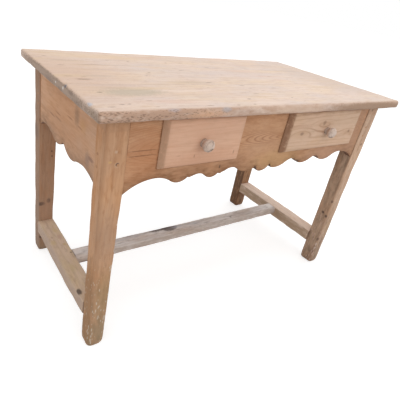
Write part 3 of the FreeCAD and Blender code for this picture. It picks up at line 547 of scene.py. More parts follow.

# Knots, stains, scuffs, nail holes, specks of paint and patches of painted shade of each piece.
END_FACE = Mark((-611.0, 0.0, 764.0), (6.0, 345.0, 20.0), "A69080", 0.8, 0.6)
LEFT_END = Mark((-611.0, 0.0, 780.0), (330.0, 420.0, 60.0), "D0AE95", 0.55, 0.1)
RIGHT_END = Mark((611.0, 0.0, 780.0), (330.0, 420.0, 60.0), "CFB9A9", 0.55, 0.1)
MARKS: dict[str, Sequence[Mark]] = {
    "top_board_back": (
        LEFT_END, RIGHT_END, END_FACE, Mark((-380, 230, 780), (260, 60, 12), "E8CBA4", 0.4, 0.1),
        Mark((-566, 212, 780), (10, 4, 5), "8A6A55"), Mark((-291, 173, 780), (8, 4, 5), "8F705A"),
        Mark((-134, 175, 780), (7, 4, 5), "8F705A"), Mark((532, 154, 780), (9, 4, 5), "95786A", 0.6)),
    "top_board_middle": (
        LEFT_END, RIGHT_END, END_FACE, Mark((100, 20, 780), (320, 70, 12), "DCC9C4", 0.4, 0.1),
        Mark((-542, -58, 780), (30, 5, 5), "86664F", 0.8, 0.5), Mark((-290, 30, 780), (8, 4, 5), "8F705A"),
        Mark((304, -23, 780), (6, 4, 5), "95786A", 0.6), Mark((-611, -41, 767), (6, 5, 4), "EFECE8", 0.9),
        Mark((-611, -98, 768), (6, 5, 6), "EFECE8", 0.9),
        Mark((-611, 20, 760), (6, 50, 12), "8E7A72", 0.6, 0.1),
        Mark((-611, -70, 758), (6, 30, 10), "8A7468", 0.6, 0.1)),
    "top_board_front": (
        LEFT_END, RIGHT_END, END_FACE, Mark((-452, -176, 780), (128, 44, 8), "B9AD99", 0.62),
        Mark((-547, -176, 780), (10, 4, 5), "7E6250"), Mark((-534, -270, 780), (11, 3, 5), "7E6250"),
        Mark((-566, -284, 780), (14, 3, 5), "7E6250"), Mark((-514, -268, 780), (8, 3, 5), "7E6250"),
        Mark((-118, -252, 780), (10, 4, 5), "8F7058"), Mark((75, -247, 780), (6, 3.5, 5), "8F7058"),
        Mark((-202, -300, 780), (8, 3, 6), "8F7058"),
        Mark((430, -317, 762), (340, 9, 28), "A4866F", 0.9, 0.4),
        Mark((40, -317, 766), (200, 9, 26), "D6B69C", 0.45, 0.1),
        Mark((-310, -317, 764), (95, 9, 16), "E6B48E", 0.5, 0.1),
        Mark((-611, -300, 762), (9, 70, 24), "8C7563", 0.6, 0.2),
        Mark((-138, -297, 780), (8, 3, 6), "8F7058"),
        Mark((-417, -312, 777), (24, 9, 7), "BDB2B3", 0.6, 0.2),
        Mark((-255, -314, 774), (22, 9, 11), "B3ACAD", 0.7, 0.3),
        Mark((-609, -112, 776), (8, 9, 6), "6F717C", 0.8), Mark((-608, -259, 779), (9, 16, 6), "BFC2CC"),
        Mark((-611, -200, 758), (6, 40, 12), "8E7A6E", 0.6, 0.1),
        Mark((-611, -150, 770), (6, 26, 8), "7E6A60", 0.5, 0.1)),
    "front_left_leg": (
        Mark((-540, -274, 420), (60, 60, 130), "AC907C", 0.4, 0.1),
        Mark((-530, -274, 200), (40, 30, 130), "A0865F", 0.5, 0.1),
        Mark((-530, -274, 60), (50, 40, 70), "9C876A", 0.5, 0.1),
        Mark((-533, -274, 629), (10, 5, 10), "CBA98C", 0.5, 0.4),
        Mark((-569, -246, 150), (5, 44, 230), "966C44", 0.6, 0.4),
        Mark((-532, -274, 630), (6, 6, 6), "54403C", 0.85, 0.45),
        Mark((-552, -274, 638), (7, 5, 4), "D6B070", 0.5),
        Mark((-538, -274, 664), (6, 5, 6), "D6BAA2", 0.5)),
    "back_left_leg": (
        Mark((-561, 242, 219), (19, 9, 11), "43342F", 0.85, 0.45),
        Mark((-533, 242, 229), (11, 9, 14), "43342F", 0.8),
        Mark((-569, 276, 507), (5, 32, 50), "5E4E4C", 0.6, 0.2),
        Mark((-564, 242, 64), (8, 8, 8), "5E483C"),
        Mark((-569, 270, 400), (3, 60, 700), "86705F", 0.5, 0.5),
        # Painted shadow that the end apron casts on the leg's front face.
        Mark((-552, 242, 556), (26, 12, 15), "573C2D", 0.75, 0.3),
        Mark((-524, 242, 437), (4, 6, 6), "4A3830"), Mark((-523, 242, 417), (4, 6, 6), "4A3830"),
        Mark((-540, 242, 190), (40, 20, 90), "B58C72", 0.5, 0.2)),
    "front_right_leg": (
        Mark((511, -249, 262), (8, 9, 9), "49382F", 0.85),
        Mark((511, -268, 252), (8, 8, 9), "49382F", 0.85), Mark((511, -270, 326), (8, 8, 9), "5A463B"),
        Mark((514, -272, 130), (10, 9, 12), "5E463E", 0.6),
        Mark((517, -273, 82), (8, 8, 9), "D2BDB0", 0.6), Mark((545, -274, 590), (8, 6, 7), "7B6252"),
        Mark((528, -274, 731), (7, 6, 6), "7B6252"), Mark((512, -274, 103), (11, 9, 14), "D8C4B8", 0.85),
        Mark((543, -246, 0), (44, 44, 9), "5A4C46", 0.6, 0.2),
        Mark((545, -274, 190), (30, 8, 70), "C0A080", 0.4, 0.2)),
    "front_apron": (
        Mark((-30, -271, 659), (150, 20, 34), "A66B45", 0.0, 0.3, 0.0, 0.55),
        Mark((-455, -271, 660), (70, 20, 60), "C29472", 0.4, 0.2),
        Mark((-455, -271, 640), (95, 30, 120), "B9764A", 0.4, 0.1),
        Mark((472, -271, 650), (70, 30, 150), "A9826A", 0.6, 0.2),
        Mark((60, -271, 580), (150, 30, 45), "C99F70", 0.5),
        Mark((330, -271, 570), (150, 30, 45), "C69C82", 0.5),
        Mark((-464, -271, 659), (52, 6, 2.2), "74503A", 0.55, 0.5),
        Mark((-463, -271, 645), (52, 6, 2.2), "74503A", 0.55, 0.5),
        Mark((-189, -271, 581), (4, 6, 9), "5A4338", 0.8),
        # Dark wedges on the face beside the steep falls of the scallop.
        Mark((151, -271, 568), (11, 6, 5), "5E4332", 0.75),
        Mark((164, -271, 562), (11, 6, 5), "5E4332", 0.75),
        Mark((175, -271, 558), (9, 6, 7), "4C3529", 0.8),
        Mark((275, -271, 566), (9, 6, 6), "5E4332", 0.75),
        Mark((286, -271, 561), (8, 6, 7), "5E4332", 0.75)),
    "left_apron": (
        Mark((-566, 65, 644), (5, 34, 3.5), "8F6248", 0.6),
        Mark((-566, -36, 665), (5, 30, 3.5), "8F6248", 0.6),
        Mark((-566, -111, 664), (5, 24, 4), "8F6248", 0.6),
        Mark((-566, -192, 609), (5, 24, 9), "7D5A50", 0.6),
        Mark((-566, 0, 640), (8, 260, 120), "C08659", 0.35, 0.3),
        Mark((-566, -85, 690), (6, 26, 44), "8A6A52", 0.55, 0.15),
        Mark((-566, -130, 676), (6, 34, 30), "C6935E", 0.5, 0.1),
        Mark((-566, -171, 599), (6, 22, 34), "96786A", 0.6, 0.2),
        Mark((-566, 118, 622), (5, 34, 4), "94694E", 0.55),
        Mark((-566, 60, 628), (5, 40, 4), "94694E", 0.5),
        Mark((-566, -110, 622), (6, 40, 26), "C9A184", 0.5, 0.1)),
    "left_stretcher": (
        Mark((-565, -174, 142), (12, 17, 9), "4E423C", 0.85, 0.45),
        Mark((-521, 19, 142), (5, 5, 6), "5A4A40"), Mark((-512, 165, 141), (5, 22, 7), "6E5A55", 0.7),
        Mark((-512, 86, 141), (5, 10, 7), "66534C", 0.7),
        Mark((-532, 165, 142), (14, 26, 8), "C2A878", 0.5, 0.2),
        Mark((-560, 90, 142), (14, 24, 8), "C2A878", 0.5, 0.2),
        Mark((-526, 70, 142), (9, 12, 7), "B99A66", 0.5, 0.2),
        Mark((-529, 120, 142), (12, 22, 8), "B58D80", 0.5, 0.2),
        Mark((-556, 123, 142), (6, 10, 6), "A8877A", 0.5),
        Mark((-545, -60, 142), (16, 40, 8), "C4AC80", 0.5, 0.2)),
    "centre_stretcher": (
        Mark((-96, 27, 141), (44, 24, 11), "5E504C", 0.85, 0.65),
        Mark((-146, 33, 141), (56, 16, 10), "5A4C48", 0.8, 0.5),
        Mark((-270, 36, 140), (110, 8, 8), "7A675C", 0.6, 0.3),
        Mark((-470, -13, 109), (70, 14, 11), "5E4C42", 0.7, 0.3),
        Mark((330, 10, 141), (180, 34, 36), "A8978B", 0.3, 0.2),
        Mark((-60, 22, 141), (40, 12, 8), "B9BBC2", 0.5, 0.2),
        Mark((20, 20, 141), (60, 14, 8), "C9C8CC", 0.5, 0.2),
        Mark((-300, 24, 141), (110, 12, 8), "C8C6CA", 0.4, 0.2), Mark((226, 2, 141), (9, 6, 6), "55483F")),
    "left_drawer": (
        # Painted shade over the lower part of the front.
        Mark((-277, -291, 618), (200, 14, 50), "C8977A", 0.5, 0.1),
        Mark((-311, -291, 637), (3, 5, 8), "94694F", 0.5),
        Mark((-169, -291, 637), (3.5, 5, 10), "94694F", 0.5),
        Mark((-364, -291, 643), (9, 5, 2), "94694F", 0.4)),
    "left_drawer_knob": (
        # The first two are painted shade on the lower side of the crown.
        Mark((-282, -322, 666), (9, 8, 6), "66503F", 0.8, 0.4),
        Mark((-287, -318, 657), (16, 9, 6), "7A6353", 0.5, 0.2),
        Mark((-283, -321, 686), (3, 7, 7), "7A6353", 0.5, 0.3)),
    "right_drawer_knob": (
        # Painted shade along the lower rim of the crown.
        Mark((251, -317, 660), (15, 9, 6), "7A5F4E", 0.65, 0.3),
        Mark((261, -320, 667), (6, 7, 7), "8A6E5C", 0.5, 0.2)),
    "right_drawer": (
        Mark((250, -291, 676), (210, 20, 30), "B58E6E", 0.0, 0.2, 0.0, 0.55),
        Mark((122, -291, 671), (84, 20, 24), "B58E6E", 0.3, 0.05, 10.0),
        Mark((122, -291, 671), (13, 9, 9), "7F6153", 0.6, 0.2),
        Mark((226, -291, 700), (70, 20, 24), "B58E6E", 0.3, 0.05, -9.0),
        Mark((226, -291, 703), (12, 9, 12), "86654F", 0.6, 0.2),
        Mark((387, -291, 664), (70, 20, 22), "B58E6E", 0.3, 0.05, 9.0),
        Mark((387, -291, 664), (9, 9, 8), "7C5C4A", 0.6, 0.2)),
}


def ripple(points: np.ndarray, length_mm: float, seed: int) -> np.ndarray:
    """Smooth unevenness from about -1 to 1: the sum of ten sine waves of seeded directions and phases.

    Args:
        points: Points in metres, with X, Y and Z last.
        length_mm: Length of a wave.
        seed: Seed of the draw.

    Returns:
        One value for each point.
    """
    draw = np.random.default_rng(seed)
    way = draw.normal(size=(10, 3))
    way /= np.linalg.norm(way, axis=1, keepdims=True)
    turns = 2.0 * math.pi / (length_mm * MM) * draw.uniform(0.6, 1.5, size=(10, 1))
    phase = draw.uniform(0.0, 2.0 * math.pi, size=10)
    return np.sin(points @ (way * turns).T + phase).sum(-1) / math.sqrt(20.0)


def hollows(points: np.ndarray, middles: np.ndarray, reach_mm: np.ndarray) -> np.ndarray:
    """Depth share of the nearest of many round dents: exp(-(distance / reach) squared), the largest of all.

    Args:
        points: Points in metres, with X, Y and Z last.
        middles: Middle of each dent, in metres.
        reach_mm: Reach of each dent.

    Returns:
        One value from 0 to 1 for each point.
    """
    far = np.linalg.norm(points[..., None, :] - middles, axis=-1) / (reach_mm * MM)
    return np.exp(-far ** 2).max(-1)


def outward(points: np.ndarray) -> np.ndarray:
    """Unit normals of a surface that closes round its second parameter: the cross product of its tangents.

    Args:
        points: A grid of points, along the path first and round the section second.

    Returns:
        A grid of normals, zero where the surface has a pole.
    """
    around = np.roll(points, -1, axis=1) - np.roll(points, 1, axis=1)
    along = np.gradient(points, axis=0)
    normal = np.cross(around, along)
    size = np.linalg.norm(normal, axis=-1, keepdims=True)
    return np.where(size > 1e-12, normal / np.maximum(size, 1e-12), 0.0)


def piece_from_grid(name: str, points: np.ndarray, wraps: bool, values: dict[str, np.ndarray],
                    keep: np.ndarray | None = None) -> bpy.types.Object:
    """Makes an object of a grid of points, with one four-sided face to each cell.

    Args:
        name: The object's name.
        points: Grid of points in metres; rows first, and X, Y and Z last.
        wraps: Whether the last column joins the first.
        values: Named point values for the material.
        keep: Which cells have a face; all of them if it isn't given.

    Returns:
        The object, linked to the scene.
    """
    rows, columns = points.shape[:2]
    numbers = np.arange(rows * columns).reshape(rows, columns)
    if wraps:
        numbers = np.concatenate([numbers, numbers[:, :1]], axis=1)
    cells = np.stack([numbers[:-1, :-1], numbers[:-1, 1:], numbers[1:, 1:], numbers[1:, :-1]], axis=-1)
    faces = cells.reshape(-1, 4) if keep is None else cells[keep]
    mesh = bpy.data.meshes.new(name)
    mesh.from_pydata(points.reshape(-1, 3), [], faces)
    for title, value in values.items():
        layer = mesh.attributes.new(title, "FLOAT", "POINT")
        layer.data.foreach_set("value", np.broadcast_to(value, points.shape[:2]).astype(np.float32).ravel())
    shell = bmesh.new()
    shell.from_mesh(mesh)
    bmesh.ops.remove_doubles(shell, verts=shell.verts, dist=WELD)
    loose = [vert for vert in shell.verts if not vert.link_faces]
    bmesh.ops.delete(shell, geom=loose, context="VERTS")
    shell.to_mesh(mesh)
    shell.free()
    mesh.shade_smooth()
    mesh.set_sharp_from_angle(angle=math.radians(SHARP_DEGREES))
    piece = bpy.data.objects.new(name, mesh)
    bpy.context.scene.collection.objects.link(piece)
    return piece


def section(low: np.ndarray, high: np.ndarray, rounds: np.ndarray, flats: tuple[int, int],
            arc: int = 7) -> tuple[np.ndarray, np.ndarray]:
    """Rounded rectangles, one to each station: four quarter circles, with straight runs between them.

    Args:
        low: Lower bounds of each rectangle, one row to a station.
        high: Upper bounds.
        rounds: Radius of each of the four corners, from (low, low) on.
        flats: How many points lie on the runs along the first and the second direction.
        arc: How many points each quarter circle has.

    Returns:
        The points of every section, and for each column one on a rounded corner and zero elsewhere.
    """
    runs, near = [], []
    signs = np.array([(0, 0), (1, 0), (1, 1), (0, 1)])
    arcs = []
    for corner, sign in enumerate(signs):
        turn = math.pi * (1.0 + corner / 2.0) + np.linspace(0.0, math.pi / 2, arc)
        radius = rounds[:, corner, None, None]
        edge = np.where(sign, high, low)[:, None, :]
        middle = edge + np.where(sign, -1.0, 1.0) * radius
        arcs.append(middle + radius * np.stack([np.cos(turn), np.sin(turn)], axis=-1))
    for corner in range(4):
        count = flats[corner % 2]
        share = np.linspace(0.0, 1.0, count + 2)[1:-1, None]
        start, end = arcs[corner][:, -1:], arcs[(corner + 1) % 4][:, :1]
        runs += [arcs[corner], start + share * (end - start)]
        near += [np.full(arc, np.clip(rounds[:, corner].max() / MM - 1.0, 0.0, 1.0)), np.zeros(count)]
    return np.concatenate(runs, axis=1), np.concatenate(near)


def capped(points: np.ndarray) -> np.ndarray:
    """Closes both ends of a carried section, with rings that shrink to its middle.

    Args:
        points: A grid of points, along the path first and round the section second.

    Returns:
        The grid with the rings of both ends.
    """
    shares = np.array(CAP_SHARES)[:, None, None]
    first, last = points[:1], points[-1:]
    start = first.mean(1, keepdims=True) + shares * (first - first.mean(1, keepdims=True))
    end = last.mean(1, keepdims=True) + shares[::-1] * (last - last.mean(1, keepdims=True))
    return np.concatenate([start, points, end], axis=0)


@dataclass
class Bar:
    """A sawn bar or board: a rounded section carried along one axis, worn at its arrises and ends.

    Its own directions are along, across and through: X, Y, Z for a bar along the table, Y, Z, X for
    one across it, and Z, X, Y for an upright. The four sides are low across, high across, low
    through and high through, and the four arrises go round from (low, low).

    Attributes:
        low: Lowest corner, in metres.
        high: Highest corner, in metres.
        grain: The way it runs.
        arris_mm: Radius of each arris.
        start_mm: How far each side rounds off at the start.
        end_mm: How far each side rounds off at the end.
        taper_mm: How far each side draws in at the start.
        taper_to_mm: Length along which it draws in.
        uneven_mm: How far the faces swell and sink.
        rubbed_mm: How far the arrises are rubbed away unevenly.
        step_mm: Distance between two stations.
        seed: Seed of its wear.
    """

    low: Vector
    high: Vector
    grain: Grain
    arris_mm: Four = (3.0, 3.0, 3.0, 3.0)
    start_mm: Four = NONE
    end_mm: Four = NONE
    taper_mm: Four = NONE
    taper_to_mm: float = 1.0
    uneven_mm: float = 0.3
    rubbed_mm: float = 0.8
    step_mm: float = 6.0
    seed: int = 1

    def stations(self) -> np.ndarray:
        """Places along the bar from its start: even steps, and close ones where an end rounds off.

        Returns:
            The places, in metres.
        """
        length = (self.high - self.low)[self.grain.value]
        first, last = max(self.start_mm) * MM, max(self.end_mm) * MM
        turn = 1.0 - np.cos(np.linspace(0.0, math.pi / 2, TURN_STATIONS))
        count = max(2, round((length - first - last) / (self.step_mm * MM)) + 1)
        middle = np.linspace(first, length - last, count)
        return np.unique(np.concatenate([first * turn, middle, length - last * turn]).round(7))

    def points(self) -> tuple[np.ndarray, dict[str, np.ndarray]]:
        """The bar's surface before it is closed.

        At a distance d from an end whose side rounds off with radius R, that side draws in by
        R - sqrt(R squared - (R - d) squared). Wear then sinks each point along its normal.

        Returns:
            A grid of points, and the nearness of each to an arris.
        """
        place = self.stations()
        length = place[-1]
        order = [(self.grain.value + step) % 3 for step in (1, 2)]
        low = np.tile([self.low[order[0]], self.low[order[1]]], (len(place), 1))
        high = np.tile([self.high[order[0]], self.high[order[1]]], (len(place), 1))
        taper = np.clip(1.0 - place[:, None] / (self.taper_to_mm * MM), 0.0, 1.0)
        drawn = taper * np.array(self.taper_mm) * MM
        for far, rounds in ((place, self.start_mm), (length - place, self.end_mm)):
            radius = np.array(rounds) * MM
            left = np.clip(radius - far[:, None], 0.0, None)
            drawn = drawn + radius - np.sqrt(radius ** 2 - left ** 2)
        low += drawn[:, [0, 2]]
        high -= drawn[:, [1, 3]]
        size = (high - low) * 1000.0
        flats = tuple(max(2, round(float(side) / self.step_mm)) for side in size.max(0))
        limit = np.minimum(self.rounds(place), 0.46 * (high - low).min(1, keepdims=True))
        ring, corner = section(low, high, limit, flats)
        along = np.broadcast_to(place[:, None, None] + self.low[self.grain.value], (*ring.shape[:2], 1))
        points = np.roll(np.concatenate([along, ring], axis=-1), self.grain.value, axis=-1)
        rim = np.minimum(np.arange(len(place)), np.arange(len(place))[::-1])
        rim = np.where(rim < TURN_STATIONS, 1.0, 0.0) * (max(self.start_mm + self.end_mm) > 0)
        arris = np.maximum(np.broadcast_to(corner, ring.shape[:2]), rim[:, None])
        points = points - outward(points) * self.wear(points, arris)[..., None] * MM
        return points, {"arris": arris}

    def rounds(self, place: np.ndarray) -> np.ndarray:
        """Radius of the four arrises at each place along the bar."""
        return np.tile(np.array(self.arris_mm) * MM, (len(place), 1))

    def wear(self, points: np.ndarray, arris: np.ndarray) -> np.ndarray:
        """How far each point is worn down: broad swells everywhere, and rubbing at the arrises.

        Args:
            points: A grid of points.
            arris: One at an arris and zero elsewhere, for each point.

        Returns:
            The wear of each point, in millimetres.
        """
        swells = self.uneven_mm * (0.5 + 0.5 * ripple(points, 150.0, self.seed))
        rubs = self.rubbed_mm * arris * np.clip(0.4 + ripple(points, 70.0, self.seed + 1), 0.0, None)
        return swells + rubs

    def build(self, name: str) -> bpy.types.Object:
        """Makes the bar's object, closed at both ends.

        Args:
            name: The object's name.

        Returns:
            The object.
        """
        points, values = self.points()
        caps = len(CAP_SHARES)
        spread = {title: np.concatenate([value[:1]] * caps + [value] + [value[-1:]] * caps)
                  for title, value in values.items()}
        return piece_from_grid(name, capped(points), True, spread)


@dataclass
class TopBoard(Bar):
    """A board of the top, whose outer edges are rubbed, dented and pitted by years of use.

    Attributes:
        dents: How many dents its edges have.
        dent_mm: Depth of a dent.
        front_mm: Place of the top's front face, whose edge is the most worn.
        worn_mm: How far back from that face the wear goes.
        specks: How specked with pits the upper face is at its left end.
    """

    dents: int = 0
    dent_mm: float = 1.6
    front_mm: float = -317.0
    worn_mm: float = 20.0
    specks: float = 0.36

    def wear(self, points: np.ndarray, arris: np.ndarray) -> np.ndarray:
        """Wear of a bar, with dents along the front edge that hands and tools have met.

        Args:
            points: A grid of points.
            arris: One at an arris and zero elsewhere, for each point.

        Returns:
            The wear of each point, in millimetres.
        """
        worn = super().wear(points, arris)
        if not self.dents:
            return worn
        draw = np.random.default_rng(self.seed + 5)
        share = draw.beta(0.9, 2.2, size=self.dents)
        along = self.low.x + share * (self.high.x - self.low.x)
        across = self.front_mm * MM + draw.uniform(0.0, 6.0, self.dents) * MM
        up = self.low.z + draw.uniform(0.15, 1.0, self.dents) * (self.high.z - self.low.z)
        middles = np.stack([along, across, up], axis=-1)
        return worn + self.dent_mm * hollows(points, middles, draw.uniform(2.0, 6.0, self.dents))

    def points(self) -> tuple[np.ndarray, dict[str, np.ndarray]]:
        """The board's surface, with how pitted and how dirty each point is: most at the front edge's left
        end.

        Returns:
            A grid of points that lies true at the seams, and its values.
        """
        points, values = super().points()
        along, across = points[..., 0], points[..., 1]
        normal = outward(points)
        facing = np.clip(-1.6 * normal[..., 1], 0.0, 1.0) * (across < (self.front_mm + self.worn_mm) * MM)
        leftward = np.clip((0.45 - along) / 0.9, 0.55, 1.0)
        end = np.clip(-1.5 * normal[..., 0], 0.0, 1.0)
        upper = np.clip(2.0 * normal[..., 2] - 1.0, 0.0, 1.0)
        specked = self.specks * np.clip(0.75 - along / 0.9, 0.35, 1.0) * upper
        values["pitted"] = np.maximum(np.maximum(facing * leftward ** 1.5, end), specked)
        values["soiled_and_shaded"] = facing * leftward
        for side, wall in ((self.arris_mm[0], self.low.y), (self.arris_mm[1], self.high.y)):
            if side < 1.0:
                points[..., 1] = np.where(np.abs(points[..., 1] - wall) < 0.9 * MM, wall, points[..., 1])
        return points, values


def shade_under_top(height: np.ndarray, top: float, most: float = 1.1) -> np.ndarray:
    """Painted shade under the overhang of the top: darkest at the top, fading downwards.

    Args:
        height: Height of each point.
        top: Height at which the painted shade begins.
        most: How dark the painted shade is there.

    Returns:
        The painted shade of each point.
    """
    return most * np.exp((height - top) / (SHADE_MM * MM))


@dataclass
class Leg(Bar):
    """A leg, dirty at its foot, flecked with the paint of old floors and painted with shade under the top.

    Attributes:
        soil_mm: Height below which it is dirty.
        fleck_mm: Height below which it is flecked.
        low_soil: How dirty its foot is.
        stub_mm: How much rounder its arrises are at the foot.
        stub_run_mm: Height over which that fades.
        soft_mm: How much rounder its arrises are below the aprons.
        soft_at_mm: Height at which they begin to be.
        soft_run_mm: Height over which they come to it.
        inner_shade: How dark the painted shade is on the face that looks to the left, under the table.
        inner_low: Share of that painted shade that is left at the foot.
        inner_full_mm: Height at which all of it is there.
    """

    soil_mm: float = 420.0
    fleck_mm: float = 330.0
    low_soil: float = 0.75
    stub_mm: float = 5.0
    stub_run_mm: float = 14.0
    soft_mm: float = 0.0
    soft_at_mm: float = 525.0
    soft_run_mm: float = 60.0
    inner_shade: float = 0.0
    inner_low: float = 1.0
    inner_full_mm: float = 480.0

    def rounds(self, place: np.ndarray) -> np.ndarray:
        """Radius of the arrises, rounder below the aprons and worn by the floor at the foot.

        Args:
            place: Places along the leg, from its foot.

        Returns:
            The four radii at each place, in metres.
        """
        up = place[:, None] / MM
        stub = self.stub_mm * np.exp(-(up / self.stub_run_mm) ** 2)
        soft = self.soft_mm * np.clip((self.soft_at_mm - up) / self.soft_run_mm, 0.0, 1.0)
        return super().rounds(place) + MM * (stub + soft)

    def points(self) -> tuple[np.ndarray, dict[str, np.ndarray]]:
        """The leg's surface, with the dirt, the painted shade and the flecks of each point.

        Returns:
            A grid of points, and its values.
        """
        points, values = super().points()
        normal = outward(points)
        height = points[..., 2] / MM
        low_down = self.low_soil * np.clip(1.0 - height / self.soil_mm, 0.0, 1.0) ** 0.7
        # Painted shade on the face that looks to the left, into the table, less of it at the foot.
        left = self.inner_low + (1.0 - self.inner_low) * np.clip(height / self.inner_full_mm, 0.0, 1.0)
        inner = self.inner_shade * left * np.clip(-1.4 * normal[..., 0], 0.0, 1.0)
        # Painted shade under the overhang of the top.
        shaded = shade_under_top(points[..., 2], points[..., 2].max())
        values["soiled_and_shaded"] = np.maximum(np.maximum(low_down, inner), shaded)
        # The arris between the right face and the front.
        beside = np.clip(3.0 * normal[..., 0], 0.0, 1.0) * np.clip(-3.0 * normal[..., 1], 0.0, 1.0)
        low_flecks = np.clip(1.3 - height / self.fleck_mm, 0.0, 0.9)
        values["flecked"] = low_flecks + 0.5 * beside * (self.fleck_mm > 100.0)
        return points, values


@dataclass
class Stretcher(Bar):
    """A stretcher, worn bright by feet on its top and dirty on its sides.

    Attributes:
        side_soil: How dirty its sides are.
    """

    side_soil: float = 0.9

    def points(self) -> tuple[np.ndarray, dict[str, np.ndarray]]:
        """The stretcher's surface, with how dirty each point is.

        Returns:
            A grid of points, and its values.
        """
        points, values = super().points()
        values["soiled_and_shaded"] = self.side_soil * np.clip(1.0 - 1.4 * outward(points)[..., 2], 0.0, 1.0)
        return points, values


def scallop(place: np.ndarray, knots: Sequence[Triple], half: float, foot: float, depth: float) -> np.ndarray:
    """Height of an apron's lower edge along its length.

    Between two knots it is the arc of the circle through both and through the point that lies the
    sag below the middle of their chord, and the chord itself where there is no sag.

    Args:
        place: Places along the apron from its middle.
        knots: From end to end: place from the middle as a share of half the span, rise, and sag of the
            run that ends there, both as shares of the depth.
        half: Half the span.
        foot: Height of the lowest line.
        depth: Depth of the scallop.

    Returns:
        The height at each place.
    """
    share, rise, sag = np.array(knots).T
    x, z, sag = share * half, foot + rise * depth, sag[1:] * depth
    run = np.clip(np.searchsorted(x, place, side="right") - 1, 0, len(sag) - 1)
    x0, x1, z0, z1, sag = x[run], x[run + 1], z[run], z[run + 1], sag[run]
    straight = z0 + (z1 - z0) * (place - x0) / (x1 - x0)
    bend = np.where(sag == 0.0, 1.0, sag)
    rise, half_x, half_z = (z0 + z1) / 2, (x1 - x0) / 2, (z1 - z0) / 2
    # Circle through (-half_x, -half_z), (0, -bend) and (half_x, half_z), about the chord's middle.
    centre_z = (half_x ** 2 + half_z ** 2 - bend ** 2) / (2.0 * bend)
    centre_x = -half_z * centre_z / half_x
    radius = np.hypot(centre_x, centre_z + bend)
    across = place - (x0 + x1) / 2 - centre_x
    height = np.sqrt(np.clip(radius ** 2 - across ** 2, 0.0, None))
    arc = rise + centre_z - np.sign(centre_z + bend) * height
    return np.where(sag == 0.0, straight, arc)


PLAIN_KNOTS: Sequence[Triple] = ((-1.0, 0.0, 0.0), (1.0, 0.0, 0.0))
# The front apron's scallop was cut by hand: its right lobes fall more steeply than its left ones rise.
FRONT_KNOTS: Sequence[Triple] = (
    (-1.0, 0.0, 0.0), (-0.81, 1.0, -0.27), (-0.72, 0.63, -0.09), (-0.597, 0.68, 0.34), (-0.584, 0.62, 0.0),
    (-0.528, 0.84, -0.02), (-0.479, 0.66, -0.06), (-0.376, 0.62, 0.33), (-0.358, 0.54, 0.0),
    (-0.321, 0.75, -0.02), (-0.213, 0.64, -0.27), (-0.082, 0.54, 0.25), (-0.070, 0.78, 0.0),
    (-0.042, 0.25, -0.04), (-0.004, 0.15, 0.05), (0.058, 0.66, 0.15), (0.066, 0.78, 0.0),
    (0.084, 0.34, -0.03), (0.213, 0.64, 0.20), (0.272, 0.97, -0.06), (0.352, 0.42, -0.07),
    (0.479, 0.66, 0.20), (0.528, 0.90, -0.05), (0.580, 0.46, -0.05), (0.72, 0.63, 0.25),
    (0.81, 1.0, -0.09), (1.0, 0.0, -0.27))
END_KNOTS: Sequence[Triple] = (
    (-1.0, 0.36, 0.0), (-0.69, 0.98, -0.15), (-0.45, 0.5, -0.07), (-0.03, 0.92, 0.65), (0.0, 1.0, 0.0),
    (0.03, 0.92, 0.0), (0.45, 0.5, 0.65), (0.69, 0.98, -0.07), (1.0, 0.36, -0.15))
# The left end's arch was cut a little lower at the back leg.
LEFT_KNOTS: Sequence[Triple] = ((-1.0, 0.04, 0.0), (-0.69, 0.98, -0.24), *END_KNOTS[2:])


